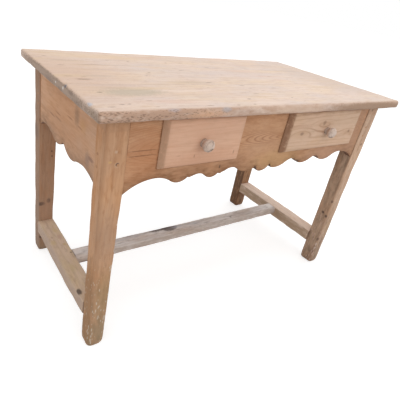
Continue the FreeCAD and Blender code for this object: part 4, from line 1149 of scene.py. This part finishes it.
@dataclass
class Apron:
    """A board on edge under the top, with a shaped lower edge and windows for drawers.

    Attributes:
        name: Its CAD node.
        start: Its outer face's lower end point at the start, in metres; the height isn't used.
        end: The same at the end. The face looks to the right hand of the way from start to end.
        foot_mm: Height of its lowest line.
        top_mm: Height of its top.
        depth_mm: Depth of the scallop.
        knots: Knots of the scallop.
        windows: Left, right, foot and top of each window from the middle, in millimetres.
        thickness_mm: Thickness of the board.
        edge_mm: Rounding of its edges.
        step_mm: Distance between two points.
        uneven_mm: How far the face swells and sinks.
        rub_mm: Height above the lower edge over which it is rubbed.
        grime: How dirty the lower edge is.
        fade_mm: Height over which that fades.
        gap_shade: How dark the painted contact shadow is on the face beside a drawer front.
        gap_mm: Distance over which that fades.
        seed: Seed of its unevenness.
    """

    name: str
    start: Vector
    end: Vector
    foot_mm: float
    top_mm: float
    depth_mm: float
    knots: Sequence[Triple]
    windows: Sequence[Four] = ()
    thickness_mm: float = 24.0
    edge_mm: float = 0.9
    step_mm: float = 4.0
    uneven_mm: float = 0.25
    rub_mm: float = 7.0
    grime: float = 0.82
    fade_mm: float = 42.0
    gap_shade: float = 0.9
    gap_mm: float = 4.0
    seed: int = 3

    def build(self) -> bpy.types.Object:
        """Makes the board: a sheet of its outer face, from the lower edge up, given its thickness.

        Returns:
            The object.
        """
        way = self.end - self.start
        half = way.length / 2
        share = np.array(self.knots)[:, 0]
        sides = [side * MM for window in self.windows for side in window[:2]]
        even = np.linspace(-half, half, round(2 * half / (self.step_mm * MM)) + 1)
        firm = np.concatenate([share * half, sides])
        clear = np.abs(even[:, None] - firm).min(1) > 0.35 * self.step_mm * MM
        place = np.unique(np.concatenate([even[clear], firm]).round(7))
        low = scallop(place, self.knots, half, self.foot_mm * MM, self.depth_mm * MM)
        levels = sorted({level for window in self.windows for level in window[2:]} | {self.top_mm})
        if not self.windows:
            levels.insert(0, self.foot_mm + 0.5 * (self.top_mm - self.foot_mm))
        rows = [low[:, None] + np.linspace(0.0, 1.0, 17) * (levels[0] * MM - low[:, None])]
        for below, above in zip(levels[:-1], levels[1:]):
            steps = max(2, round((above - below) / self.step_mm))
            band = np.linspace(below, above, steps + 1)[1:] * MM
            rows.append(np.broadcast_to(band, (len(place), steps)))
        height = np.concatenate(rows, axis=1)
        middle = (self.start + self.end) / 2
        flat = np.array(middle.xy)[None] + place[:, None] * np.array(way.xy.normalized())
        flat = np.broadcast_to(flat[:, None, :], (*height.shape, 2))
        points = np.concatenate([flat, height[..., None]], axis=-1)
        inward = np.array([-way.y, way.x, 0.0]) / way.length
        points = points + inward * self.uneven_mm * MM * (1.0 + ripple(points, 160.0, self.seed))[..., None]
        keep = np.ones((len(place) - 1, height.shape[1] - 1), bool)
        mid_x = (place[:-1] + place[1:])[:, None] / 2
        mid_z = (height[:-1, :-1] + height[1:, 1:]) / 2
        far = height - low[:, None]
        lower = self.grime * np.exp(-far / (self.fade_mm * MM))
        # Dirt towards the lower edge, and painted shade under the overhang of the top.
        soiled_and_shaded = np.maximum(lower, shade_under_top(height, self.top_mm * MM))
        for left, right, foot, top in self.windows:
            inside = (mid_x > left * MM) & (mid_x < right * MM) & (mid_z > foot * MM) & (mid_z < top * MM)
            keep &= ~inside
            # Painted contact shadow on the face round each drawer front's lap, fading outwards.
            past_x = np.maximum(left - LAP_MM - place / MM, place / MM - right - LAP_MM)[:, None]
            past_z = np.maximum(foot - LAP_MM - height / MM, height / MM - top - LAP_MM)
            past = np.clip(np.maximum(past_x, past_z), 0.0, None)
            soiled_and_shaded = np.maximum(soiled_and_shaded, self.gap_shade * np.exp(-past / self.gap_mm))
        flipped = points[::-1]
        values = {"arris": np.exp(-far / (self.rub_mm * MM))[::-1], "soiled_and_shaded": soiled_and_shaded[::-1]}
        piece = piece_from_grid(self.name + "_board", flipped, False, values, keep[::-1])
        thick = piece.modifiers.new("thickness", "SOLIDIFY")
        thick.thickness = self.thickness_mm * MM
        thick.offset = -1.0
        thick.use_even_offset = True
        # The rim faces take the second material: dark brown dirt with painted shade.
        thick.material_offset_rim = 1
        soft = piece.modifiers.new("soft edges", "BEVEL")
        soft.width = self.edge_mm * MM
        soft.segments = 3
        soft.limit_method = "ANGLE"
        soft.angle_limit = math.radians(40.0)
        return piece


def turned(profile_mm: np.ndarray, middle: Vector, way: Vector, count: int) -> np.ndarray:
    """A turned shape: a profile of radius and height carried round an axis.

    Args:
        profile_mm: Rows of radius, and height along the axis.
        middle: Point on the axis where the height is zero, in metres.
        way: The axis.
        count: Points round the axis.

    Returns:
        A grid of points, along the profile first.
    """
    side = way.orthogonal().normalized()
    other = way.cross(side)
    turn = np.linspace(0.0, 2.0 * math.pi, count, endpoint=False)
    ring = np.cos(turn)[:, None] * np.array(side) + np.sin(turn)[:, None] * np.array(other)
    radius, height = profile_mm[:, 0, None, None] * MM, profile_mm[:, 1, None, None] * MM
    return np.array(middle) + radius * ring + height * np.array(way)


def dress(piece: bpy.types.Object, material: bpy.types.Material, body: str, slot: str,
          *nodes: str) -> bpy.types.Object:
    """Gives a new piece its material and its body, hides the CAD nodes that it stands for and logs them.

    Args:
        piece: The new piece.
        material: Its material.
        body: The CAD body that it rides on.
        slot: The record's material slot; not used.
        *nodes: The CAD nodes that it replaces.

    Returns:
        The piece.
    """
    piece.data.materials.append(material)
    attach(piece, body)
    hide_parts(*nodes)
    log.info("%s stands for %s on %s", piece.name, ", ".join(nodes), body)
    return piece


def paint_node(node: str, material: bpy.types.Material) -> None:
    """Gives a CAD node, whose shape stays, its material.

    Args:
        node: The node.
        material: The material.
    """
    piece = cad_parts[node]
    for place in piece.material_slots:
        place.material = material
    log.info("%s keeps its shape", node)


@dataclass
class Top:
    """The three boards of the top and the splines between them.

    Attributes:
        upper_mm: Rounding of the top's upper edge.
        lower_mm: Rounding of its lower edge.
        corner_mm: Rounding of its corners.
        end_mm: Rounding of its edges at the ends.
        seam_mm: Softening of the boards' arrises at the seams.
    """

    upper_mm: float = 10.0
    lower_mm: float = 7.0
    corner_mm: float = 6.5
    end_mm: float = 6.0
    seam_mm: float = 0.15

    def build(self) -> None:
        """Makes the boards and dresses them."""
        ends = {"front": (self.corner_mm, 0.0), "middle": (0.0, 0.0), "back": (0.0, self.corner_mm)}
        piths = {"front": (0.0, -200.0, 690.0), "middle": (0.0, 20.0, 840.0), "back": (0.0, 230.0, 700.0)}
        for title, corner in ends.items():
            node = "top_board_" + title
            low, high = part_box(node)
            lower, upper = ([size if rounding > 0 else self.seam_mm for rounding in corner]
                            for size in (self.lower_mm, self.upper_mm))
            arris = (*lower, *upper[::-1])
            rounds = (*corner, self.end_mm, self.end_mm)
            board = TopBoard(low, high, Grain.ALONG, arris_mm=arris, start_mm=rounds, end_mm=rounds,
                             uneven_mm=0.5, rubbed_mm=0.7, step_mm=4.0, seed=20,
                             dents=150 if title == "front" else 0)
            cut = Cut(Grain.ALONG, piths[title], tilt=(0.0, 0.6, 0.4))
            marks = [*MARKS[node], *self.stains(low, high, 80 + len(title))]
            material = TOP_PINE.material("bleached_pine_" + title, cut, marks)
            dress(board.build(node + "_worn"), material, "table", "top", node)
        cut = Cut(Grain.ALONG, (0.0, 0.0, 700.0))
        paint_node("top_splines", SAWN_PINE.material("sawn_pine_splines", cut))

    @staticmethod
    def stains(low: Vector, high: Vector, seed: int) -> list[Mark]:
        """Scatters soft stains and small nicks over a board, more of them towards its left end.

        Args:
            low: Lowest corner of the board.
            high: Highest corner of the board.
            seed: Seed of the draw.

        Returns:
            The marks.
        """
        draw = np.random.default_rng(seed)
        kinds = [((100.0, 17.0), ("D8BD98", "CAB2A8", "BFA997", "DDB9A4"), 0.4, 0.1)] * 9
        kinds += [((13.0, 3.2), ("937562", "A5866F"), 0.6, 0.3)] * 12
        marks = []
        for reach, tones, strength, core in kinds:
            share = draw.beta(1.2, 1.9), draw.uniform(0.04, 0.96)
            at = [(low[i] + share[i] * (high[i] - low[i])) / MM for i in (0, 1)]
            size = draw.uniform(0.5, 1.4)
            spread = (reach[0] * size, reach[1] * size, 6.0)
            marks.append(Mark((*at, high.z / MM), spread, str(draw.choice(tones)), strength, core))
        return marks


@dataclass
class Base:
    """Legs, aprons, stretchers and pegs.

    Attributes:
        foot_mm: How far a leg draws in at its foot.
        taper_to_mm: Height up to which it draws in.
        sole_mm: Rounding of a leg's foot at the left, right, front and back.
        apron_top_mm: Height of the aprons' top.
    """

    foot_mm: float = 9.0
    taper_to_mm: float = 538.0
    sole_mm: Four = (3.0, 11.0, 3.0, 5.0)
    apron_top_mm: float = 752.0

    def build(self) -> None:
        """Makes every piece of the base."""
        self.legs()
        self.aprons()
        self.stretchers()
        self.pegs()

    def legs(self) -> None:
        """Makes the four legs, tapered on the side that faces along the table."""
        soft = {"soft_mm": 4.0, "inner_low": 0.3, "fleck_mm": 380.0}
        firm = {"soft_mm": 1.0, "inner_low": 1.0, "fleck_mm": 1.0}
        # The right legs' faces that look to the left get painted shade.
        finishes = {
            "front_left_leg": (FLECKED_PINE, {**soft, "arris_mm": (7.0, 3.0, 3.0, 3.0)}),
            "front_right_leg": (GREYED_PINE, {**soft, "arris_mm": (3.0, 6.0, 3.0, 3.0), "inner_shade": 0.55,
                                              "start_mm": (7.0, 15.0, 5.0, 6.0)}),
            "back_left_leg": (BACK_PINE, firm),
            "back_right_leg": (FAR_PINE, {**firm, "inner_shade": 1.0}),
        }
        for number, (node, (finish, worn)) in enumerate(finishes.items()):
            low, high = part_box(node)
            taper = (0.0, self.foot_mm, 0.0, 0.0) if "left" in node else (self.foot_mm, 0.0, 0.0, 0.0)
            leg = Leg(low, high, Grain.UP, taper_mm=taper, taper_to_mm=self.taper_to_mm, uneven_mm=0.5,
                      rubbed_mm=0.8, step_mm=5.0, seed=40 + number, **{"start_mm": self.sole_mm, **worn})
            middle = (low + high) / 2 / MM
            cut = Cut(Grain.UP, (middle.x + 40.0, middle.y + 45.0, 0.0), tilt=(0.8, 0.5, 0.0))
            material = finish.material("stripped_pine_" + node, cut, MARKS.get(node, ()))
            dress(leg.build(node + "_worn"), material, "table", "base", node)

    def aprons(self) -> None:
        """Makes the four aprons between the legs."""
        left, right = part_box("front_left_leg")[1].x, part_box("front_right_leg")[0].x
        front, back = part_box("front_left_leg")[1].y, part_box("back_left_leg")[0].y
        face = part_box("front_apron")[0].y
        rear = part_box("back_apron")[1].y
        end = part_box("right_apron")[1].x
        windows = []
        for side in Side:
            low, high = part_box(side.value + "_drawer_front")
            across = low.x / MM + LAP_MM, high.x / MM - LAP_MM
            windows.append((*across, low.z / MM + LAP_MM, high.z / MM - LAP_MM))
        top = self.apron_top_mm
        boards = (
            Apron("front_apron", Vector((left, face, 0)), Vector((right, face, 0)), 538.0, top, 35.0,
                  FRONT_KNOTS, windows, seed=50),
            Apron("back_apron", Vector((right, rear, 0)), Vector((left, rear, 0)), 562.0, top, 1.0,
                  PLAIN_KNOTS, seed=51),
            Apron("left_apron", Vector((-end, back, 0)), Vector((-end, front, 0)), 544.0, top, 24.0,
                  LEFT_KNOTS, seed=52),
            Apron("right_apron", Vector((end, front, 0)), Vector((end, back, 0)), 544.0, top, 24.0,
                  END_KNOTS, seed=53),
        )
        cuts = {
            "front_apron": Cut(Grain.ALONG, (0.0, -250.0, 659.0), tilt=(0.0, 0.0, 9.5), squash=1.5),
            "back_apron": Cut(Grain.ALONG, (0.0, 340.0, 650.0), tilt=(0.0, 0.0, 1.5)),
            "left_apron": Cut(Grain.ACROSS, (-530.0, 0.0, 690.0), tilt=(2.0, 0.0, 1.5)),
            "right_apron": Cut(Grain.ACROSS, (530.0, 0.0, 690.0), tilt=(2.0, 0.0, -1.5)),
        }
        for board in boards:
            finish = {"front_apron": FRONT_PINE, "back_apron": BASE_PINE}.get(board.name, END_PINE)
            marks = MARKS.get(board.name, ())
            material = finish.material("stripped_pine_" + board.name, cuts[board.name], marks)
            piece = dress(board.build(), material, "table", "base", board.name)
            # The sawn edges are dark brown: dirt, and painted shade on the faces that look down or aside.
            piece.data.materials.append(EDGE_DIRT_AND_SHADE_PINE.material("dirt_and_shade_edge_" + board.name, cuts[board.name]))

    def stretchers(self) -> None:
        """Makes the stretchers, from shoulder to shoulder."""
        front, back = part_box("front_left_leg")[1].y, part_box("back_left_leg")[0].y
        for number, node in enumerate(("left_stretcher", "right_stretcher", "centre_stretcher")):
            low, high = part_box(node)
            grain = Grain.ALONG if node.startswith("centre") else Grain.ACROSS
            if grain is Grain.ALONG:
                low.x, high.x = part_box("left_stretcher")[1].x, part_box("right_stretcher")[0].x
            else:
                low.y, high.y = front, back
            planed = {"left_stretcher": (0.0, 0.0, 4.0, 0.0), "right_stretcher": (0.0, 0.0, 0.0, 4.0)}
            arris = (3.0, 4.0, 3.0, 9.0) if grain is Grain.ALONG else (4.0,) * 4
            bar = Stretcher(low, high, grain, arris_mm=arris, uneven_mm=0.6, rubbed_mm=1.0, step_mm=5.0,
                            seed=60 + number, taper_to_mm=160.0, taper_mm=planed.get(node, NONE))
            finishes = {"right_stretcher": BRIGHT_PINE, "centre_stretcher": LIMED_PINE}
            middle = (low + high) / 2 / MM
            cut = Cut(grain, (middle.x + 20.0, middle.y + 20.0, middle.z - 60.0), tilt=(0.5, 0.5, 0.5))
            finish = finishes.get(node, STRETCHER_PINE)
            material = finish.material("weathered_pine_" + node, cut, MARKS.get(node, ()))
            dress(bar.build(node + "_worn"), material, "table", "stretcher", node)

    def pegs(self) -> None:
        """Dresses the pegs of the joints."""
        for joined in ("apron", "stretcher"):
            material = PEG_WOOD.material(f"oiled_pegs_{joined}s", Cut(Grain.UP, (0.0, 0.0, 0.0)))
            paint_node(joined + "_pegs", material)


@dataclass
class Drawer:
    """One drawer with its supports.

    Attributes:
        side: Which drawer it is.
        rim_mm: Thickness of the front's rim.
        bevel_mm: Width of the bevel round its face.
        top_bevel_mm: Width of the bevel at its top, where it has been planed to clear.
        step_mm: Thickness of the step behind the front, which fills the window.
        corner_mm: Rounding of the front's corners.
        uneven_mm: How far the face swells and sinks.
        fade_mm: Distance from the ends over which the bevel's dirt and painted shade fade.
        splits: Where the knob's crown has split, as angles round it in radians.
        split_width: Half the width of a split, as an angle.
        waist_mm: Radius of the knob's waist.
        flare_mm: How much wider its foot is.
        crown_mm: Height of its crown.
        brow_mm: Height of its brow, between the waist and the crown.
        groove_mm: Depth of the ring that is turned into the crown.
        groove_at: Its radius, as a share of the brow's.
        groove_half_mm: Half its width.
    """

    side: Side
    splits: tuple[float, ...]
    rim_mm: float = 3.0
    bevel_mm: float = 11.0
    top_bevel_mm: float = 4.5
    step_mm: float = 12.0
    corner_mm: float = 4.5
    uneven_mm: float = 0.35
    fade_mm: float = 14.0
    split_width: float = 0.11
    waist_mm: float = 10.0
    flare_mm: float = 2.6
    crown_mm: float = 13.0
    brow_mm: float = 5.0
    groove_mm: float = 0.8
    groove_at: float = 0.78
    groove_half_mm: float = 1.4

    def build(self) -> None:
        """Makes the front and the knob, and dresses the rest."""
        side = self.side.value
        body = side + "_drawer"
        low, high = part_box(body + "_front")
        left = low.x / MM
        middle = (low + high) / 2 / MM
        cut = Cut(Grain.ALONG, (middle.x, low.y / MM + 60.0, middle.z + 15.0), tilt=(0.0, 0.3, 1.5))
        finish = LEFT_DRAWER_PINE if self.side is Side.LEFT else RIGHT_DRAWER_PINE
        material = finish.material("stripped_pine_" + body, cut, MARKS[body])
        dress(self.front(body, low, high), material, body, "drawer_face", body + "_front")
        cut = Cut(Grain.ALONG, (middle.x, middle.y + 30.0, middle.z - 45.0), tilt=(0.0, 14.0, 0.0))
        material = KNOB_WOOD.material("limed_knob_" + side, cut, MARKS[body + "_knob"])
        dress(self.knob(body), material, body, "knob", body + "_knob")
        boards = (
            (("left_side", "right_side"), Cut(Grain.ACROSS, (left + 60.0, 0.0, 600.0))),
            (("back", "bottom"), Cut(Grain.ALONG, (0.0, 100.0, 560.0))),
            (("left_runner", "right_runner", "kicker"), Cut(Grain.ACROSS, (left - 20.0, 0.0, 640.0))),
        )
        for nodes, cut in boards:
            for node in nodes:
                paint_node(f"{body}_{node}", SAWN_PINE.material(f"sawn_pine_{body}_{node}", cut))
        cut = Cut(Grain.ALONG, (0.0, 0.0, 600.0))
        paint_node(body + "_pins", PEG_WOOD.material("oiled_pins_" + side, cut))

    def front(self, body: str, low: Vector, high: Vector) -> bpy.types.Object:
        """Makes the front: rectangles carried from the back of the step, over rim and bevel, to the face.

        Each ring says how far its rectangle lies inside the front at the sides, below and above, and its
        place from front to back.

        Args:
            body: The drawer's body.
            low: Lowest corner of the front.
            high: Highest corner of the front.

        Returns:
            The object.
        """
        lap = high.y / MM - self.step_mm
        face = low.y / MM
        rim = lap - self.rim_mm
        box_low, box_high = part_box(body + "_left_side")
        step = ((box_high.x - low.x) / MM, (box_low.z - low.z) / MM, (high.z - box_high.z) / MM)
        bevel = np.linspace(0.0, 1.0, 5)[:, None]
        width = np.array([self.bevel_mm, self.bevel_mm, self.top_bevel_mm])
        outer, inner = np.array([0.6, 0.6, 0.6, rim - 0.5]), np.array([*(width - 1.2), face + 1.3])
        slope = (1.0 - bevel) * outer + bevel * inner
        half = (high.z - low.z) / MM / 2
        soft = [(*(width + 0.2), face + 0.45), (*(width + 1.6), face + 0.1)]
        field = np.linspace(0.0, 1.0, 9)[1:, None]
        field = (1.0 - field) * (width + 3.5) + field * half
        rings = np.concatenate([
            [(half, half, half, high.y / MM)],
            [(*step, high.y / MM)], [(*step, lap)], [(0.8, 0.8, 0.8, lap)],
            [(0.2, 0.2, 0.2, lap - 0.2)], [(0.0, 0.0, 0.0, lap - 0.8)], [(0.0, 0.0, 0.0, rim + 0.4)],
            slope, soft, np.concatenate([field, np.full((len(field), 1), face)], axis=1)]) * MM
        inset = rings[::-1]
        lows = np.stack([low.z + inset[:, 1], low.x + inset[:, 0]], axis=-1)
        highs = np.stack([high.z - inset[:, 2], high.x - inset[:, 0]], axis=-1)
        rounds = np.clip(self.corner_mm * MM - 0.25 * inset[:, 0], 2.0 * MM, None)
        rounds = np.minimum(rounds, 0.45 * (highs - lows).min(1))
        ring, _ = section(lows, highs, np.repeat(rounds[:, None], 4, axis=1), (30, 60), arc=4)
        along = np.broadcast_to(inset[:, 3, None, None], (*ring.shape[:2], 1))
        points = np.roll(np.concatenate([along, ring], axis=-1), 1, axis=-1)
        edge = np.exp(-np.abs(inset[:, 0] - self.bevel_mm * MM) / (4.0 * MM)) + (inset[:, 0] < 1.5 * MM)
        uneven = self.uneven_mm * MM * (1.0 + ripple(points, 120.0, 70 + len(self.side.value)))
        points[..., 1] += np.where(inset[:, 3, None] < (rim + 0.5) * MM, uneven, 0.0)
        # Dirt and painted shade on the bevel at both ends of the front, by the gaps beside it.
        beside = np.minimum(points[..., 0] - low.x, high.x - points[..., 0]) / MM
        bevel_dirt_and_shade = np.clip(1.35 - beside / self.fade_mm, 0.0, 1.0)
        # Painted shade under the overhang of the top.
        shaded = shade_under_top(points[..., 2], high.z, 0.6)
        soiled_and_shaded = np.where(inset[:, 0, None] < self.bevel_mm * MM, bevel_dirt_and_shade, shaded)
        values = {"arris": np.clip(edge, 0.0, 1.0)[:, None], "soiled_and_shaded": soiled_and_shaded}
        return piece_from_grid(body + "_front_worn", points, True, values)

    def knob(self, body: str) -> bpy.types.Object:
        """Makes the turned knob: a waist that flares to a brow, and a domed crown that may have split.

        The waist's radius grows with the cube of the way up it, and the crown's falls with the cosine
        of a quarter turn.

        Args:
            body: The drawer's body.

        Returns:
            The object.
        """
        low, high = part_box(body + "_knob")
        middle = (low + high) / 2
        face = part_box(body + "_front")[0].y
        reach = (face - low.y) / MM
        brow = (high.x - low.x) / MM / 2 + 0.7
        neck = np.linspace(0.0, 1.0, 14)
        foot = self.flare_mm * np.exp(-(neck / 0.28) ** 4)
        waist = self.waist_mm + foot + (brow - 1.8 - self.waist_mm) * neck ** 3
        rise = reach - self.crown_mm
        crown = np.linspace(0.0, math.pi / 2, 22)
        profile = np.concatenate([
            [(0.0, -1.0)], np.stack([waist, neck * (rise - self.brow_mm)], axis=-1),
            np.stack([brow * np.cos(crown) ** 0.8, rise + self.crown_mm * np.sin(crown)], axis=-1)])
        seat = Vector((middle.x, face, middle.z))
        points = turned(profile, seat, Vector((0.0, -1.0, 0.0)), KNOB_POINTS)
        turn = np.linspace(0.0, 2.0 * math.pi, KNOB_POINTS, endpoint=False)
        split = np.zeros_like(turn)
        for angle in self.splits:
            split = np.maximum(split, np.exp(-((turn - angle) / self.split_width) ** 2))
        crowned = np.zeros((len(profile), 1))
        crowned[-20:-1] = 1.0
        split = crowned * split
        radius, height = profile[:, :1], profile[:, 1:]
        groove = self.groove_mm * np.exp(-((radius - self.groove_at * brow) / self.groove_half_mm) ** 2)
        groove = groove * (height > reach - 12.0)
        points = points - outward(points) * (split + groove)[..., None] * MM
        # Painted shade at the foot by the drawer front and in the turned groove; the splits are dark with
        # dirt.
        shaded = 0.6 * np.clip(1.2 - height / (reach - 16.0), 0.0, 1.0)
        soiled_and_shaded = np.maximum(np.maximum(shaded, split), 0.4 * groove)
        return piece_from_grid(body + "_knob_turned", points, True, {"soiled_and_shaded": soiled_and_shaded})


def looked_at(tree: Tree) -> Socket:
    """One for a ray from the eye, also by way of a glossy or clear piece, and nothing for other light.

    Args:
        tree: The node tree.

    Returns:
        The socket with the value.
    """
    path = add(tree, "LightPath", {}).outputs
    seen = path["Is Camera Ray"]
    for way in ("Is Glossy Ray", "Is Transmission Ray"):
        seen = add(tree, "Math", {0: seen, 1: path[way]}, operation="MAXIMUM").outputs[0]
    return seen


@dataclass
class Stage:
    """Floor, light and camera.

    Attributes:
        eye: Place of the camera.
        right: The picture's right.
        up: The picture's up.
        focal_px: Focal length in pixels of the photograph.
        centre_px: Pixel that the camera looks at.
        daylight: Strength of the light from all round.
        lamps: Name, place, power and size of each lamp.
        aim: Where the lamps point.
        floor_half: Half the side of the floor.
        glow: How much the floor glows to the eye.
    """

    eye: Triple = (-0.936334, -1.018942, 1.035777)
    right: Triple = (0.83502736, -0.52865740, 0.15248168)
    up: Triple = (0.12754575, 0.45557402, 0.88101328)
    focal_px: float = 383.928
    centre_px: tuple[float, float] = (166.0, 178.5)
    daylight: float = 0.86
    lamps: Sequence[tuple[str, Triple, float, float]] = (
        ("sky", (0.0, -0.4, 3.2), 12.0, 3.0), ("window", (0.5, -3.4, 1.9), 15.0, 2.4),
        ("far_window", (2.6, 1.2, 1.2), 10.0, 2.0))
    aim: Triple = (0.0, 0.0, 0.4)
    floor_half: float = 30.0
    glow: float = 0.62

    def build(self) -> None:
        """Sets the camera, the light and the floor."""
        self.camera()
        self.light()
        self.floor()

    def camera(self) -> None:
        """Puts the camera where the photograph was taken from."""
        data = bpy.data.cameras.new("camera")
        data.sensor_width = SENSOR_MM
        data.lens = self.focal_px * SENSOR_MM / PHOTO_SIDE
        data.shift_x = 0.5 - self.centre_px[0] / PHOTO_SIDE
        data.shift_y = self.centre_px[1] / PHOTO_SIDE - 0.5
        camera = bpy.data.objects.new("camera", data)
        right, up = Vector(self.right).normalized(), Vector(self.up).normalized()
        turn = Matrix((right, up, right.cross(up))).transposed()
        camera.matrix_world = Matrix.Translation(self.eye) @ turn.to_4x4()
        bpy.context.scene.collection.objects.link(camera)
        bpy.context.scene.camera = camera

    def light(self) -> None:
        """Lights the table as an overcast day does: evenly, and most from above."""
        scene = bpy.context.scene
        scene.view_settings.view_transform = "Standard"
        world = bpy.data.worlds.new("white studio")
        scene.world = world
        tree = bare_tree(world)
        dim = add(tree, "Background", {"Color": WHITE, "Strength": self.daylight})
        white = add(tree, "Background", {"Color": WHITE, "Strength": 1.0})
        both = add(tree, "MixShader", {0: looked_at(tree), 1: dim.outputs[0], 2: white.outputs[0]})
        add(tree, "OutputWorld", {"Surface": both.outputs[0]})
        for name, place, power, size in self.lamps:
            data = bpy.data.lights.new(name, "AREA")
            data.energy = power
            data.size = size
            lamp = bpy.data.objects.new(name, data)
            lamp.location = place
            lamp.rotation_euler = (Vector(self.aim) - Vector(place)).to_track_quat("-Z", "Y").to_euler()
            scene.collection.objects.link(lamp)

    def floor(self) -> None:
        """Lays a white floor that keeps the table's shadow."""
        ends = np.linspace(-self.floor_half, self.floor_half, 9)
        across, along = np.meshgrid(ends, ends, indexing="ij")
        grid = np.stack([across, along, np.zeros_like(along)], axis=-1)
        floor = piece_from_grid("floor", grid.transpose(1, 0, 2), False, {})
        # White paper: matt, with a glow for the eye alone, so that it shows white and keeps the shadow.
        made = bpy.data.materials.new("white paper floor")
        tree = bare_tree(made)
        matt = add(tree, "BsdfDiffuse", {"Color": linear("CCCCCC")})
        glow = add(tree, "Emission", {"Color": WHITE, "Strength": self.glow})
        shown = add(tree, "AddShader", {0: matt.outputs[0], 1: glow.outputs[0]})
        both = add(tree, "MixShader", {0: looked_at(tree), 1: matt.outputs[0], 2: shown.outputs[0]})
        add(tree, "OutputMaterial", {"Surface": both.outputs[0]})
        floor.data.materials.append(made)


def fixings() -> None:
    """Dresses the buttons and screws that hold the top."""
    paint_node("top_buttons", SAWN_PINE.material("sawn_pine_buttons", Cut(Grain.ALONG, (0.0, 0.0, 700.0))))
    paint_node("top_screws", SCREW_STEEL.material("drawn_steel_screws"))


def main() -> None:
    """Builds the stage and every piece of the table, in order."""
    logging.basicConfig(level=logging.INFO, format="%(name)s: %(message)s")
    Stage().build()
    Top().build()
    Base().build()
    # Only the left knob has dried and split.
    Drawer(Side.LEFT, splits=(0.5, 3.4)).build()
    Drawer(Side.RIGHT, splits=()).build()
    fixings()


if __name__ == "__main__":
    main()
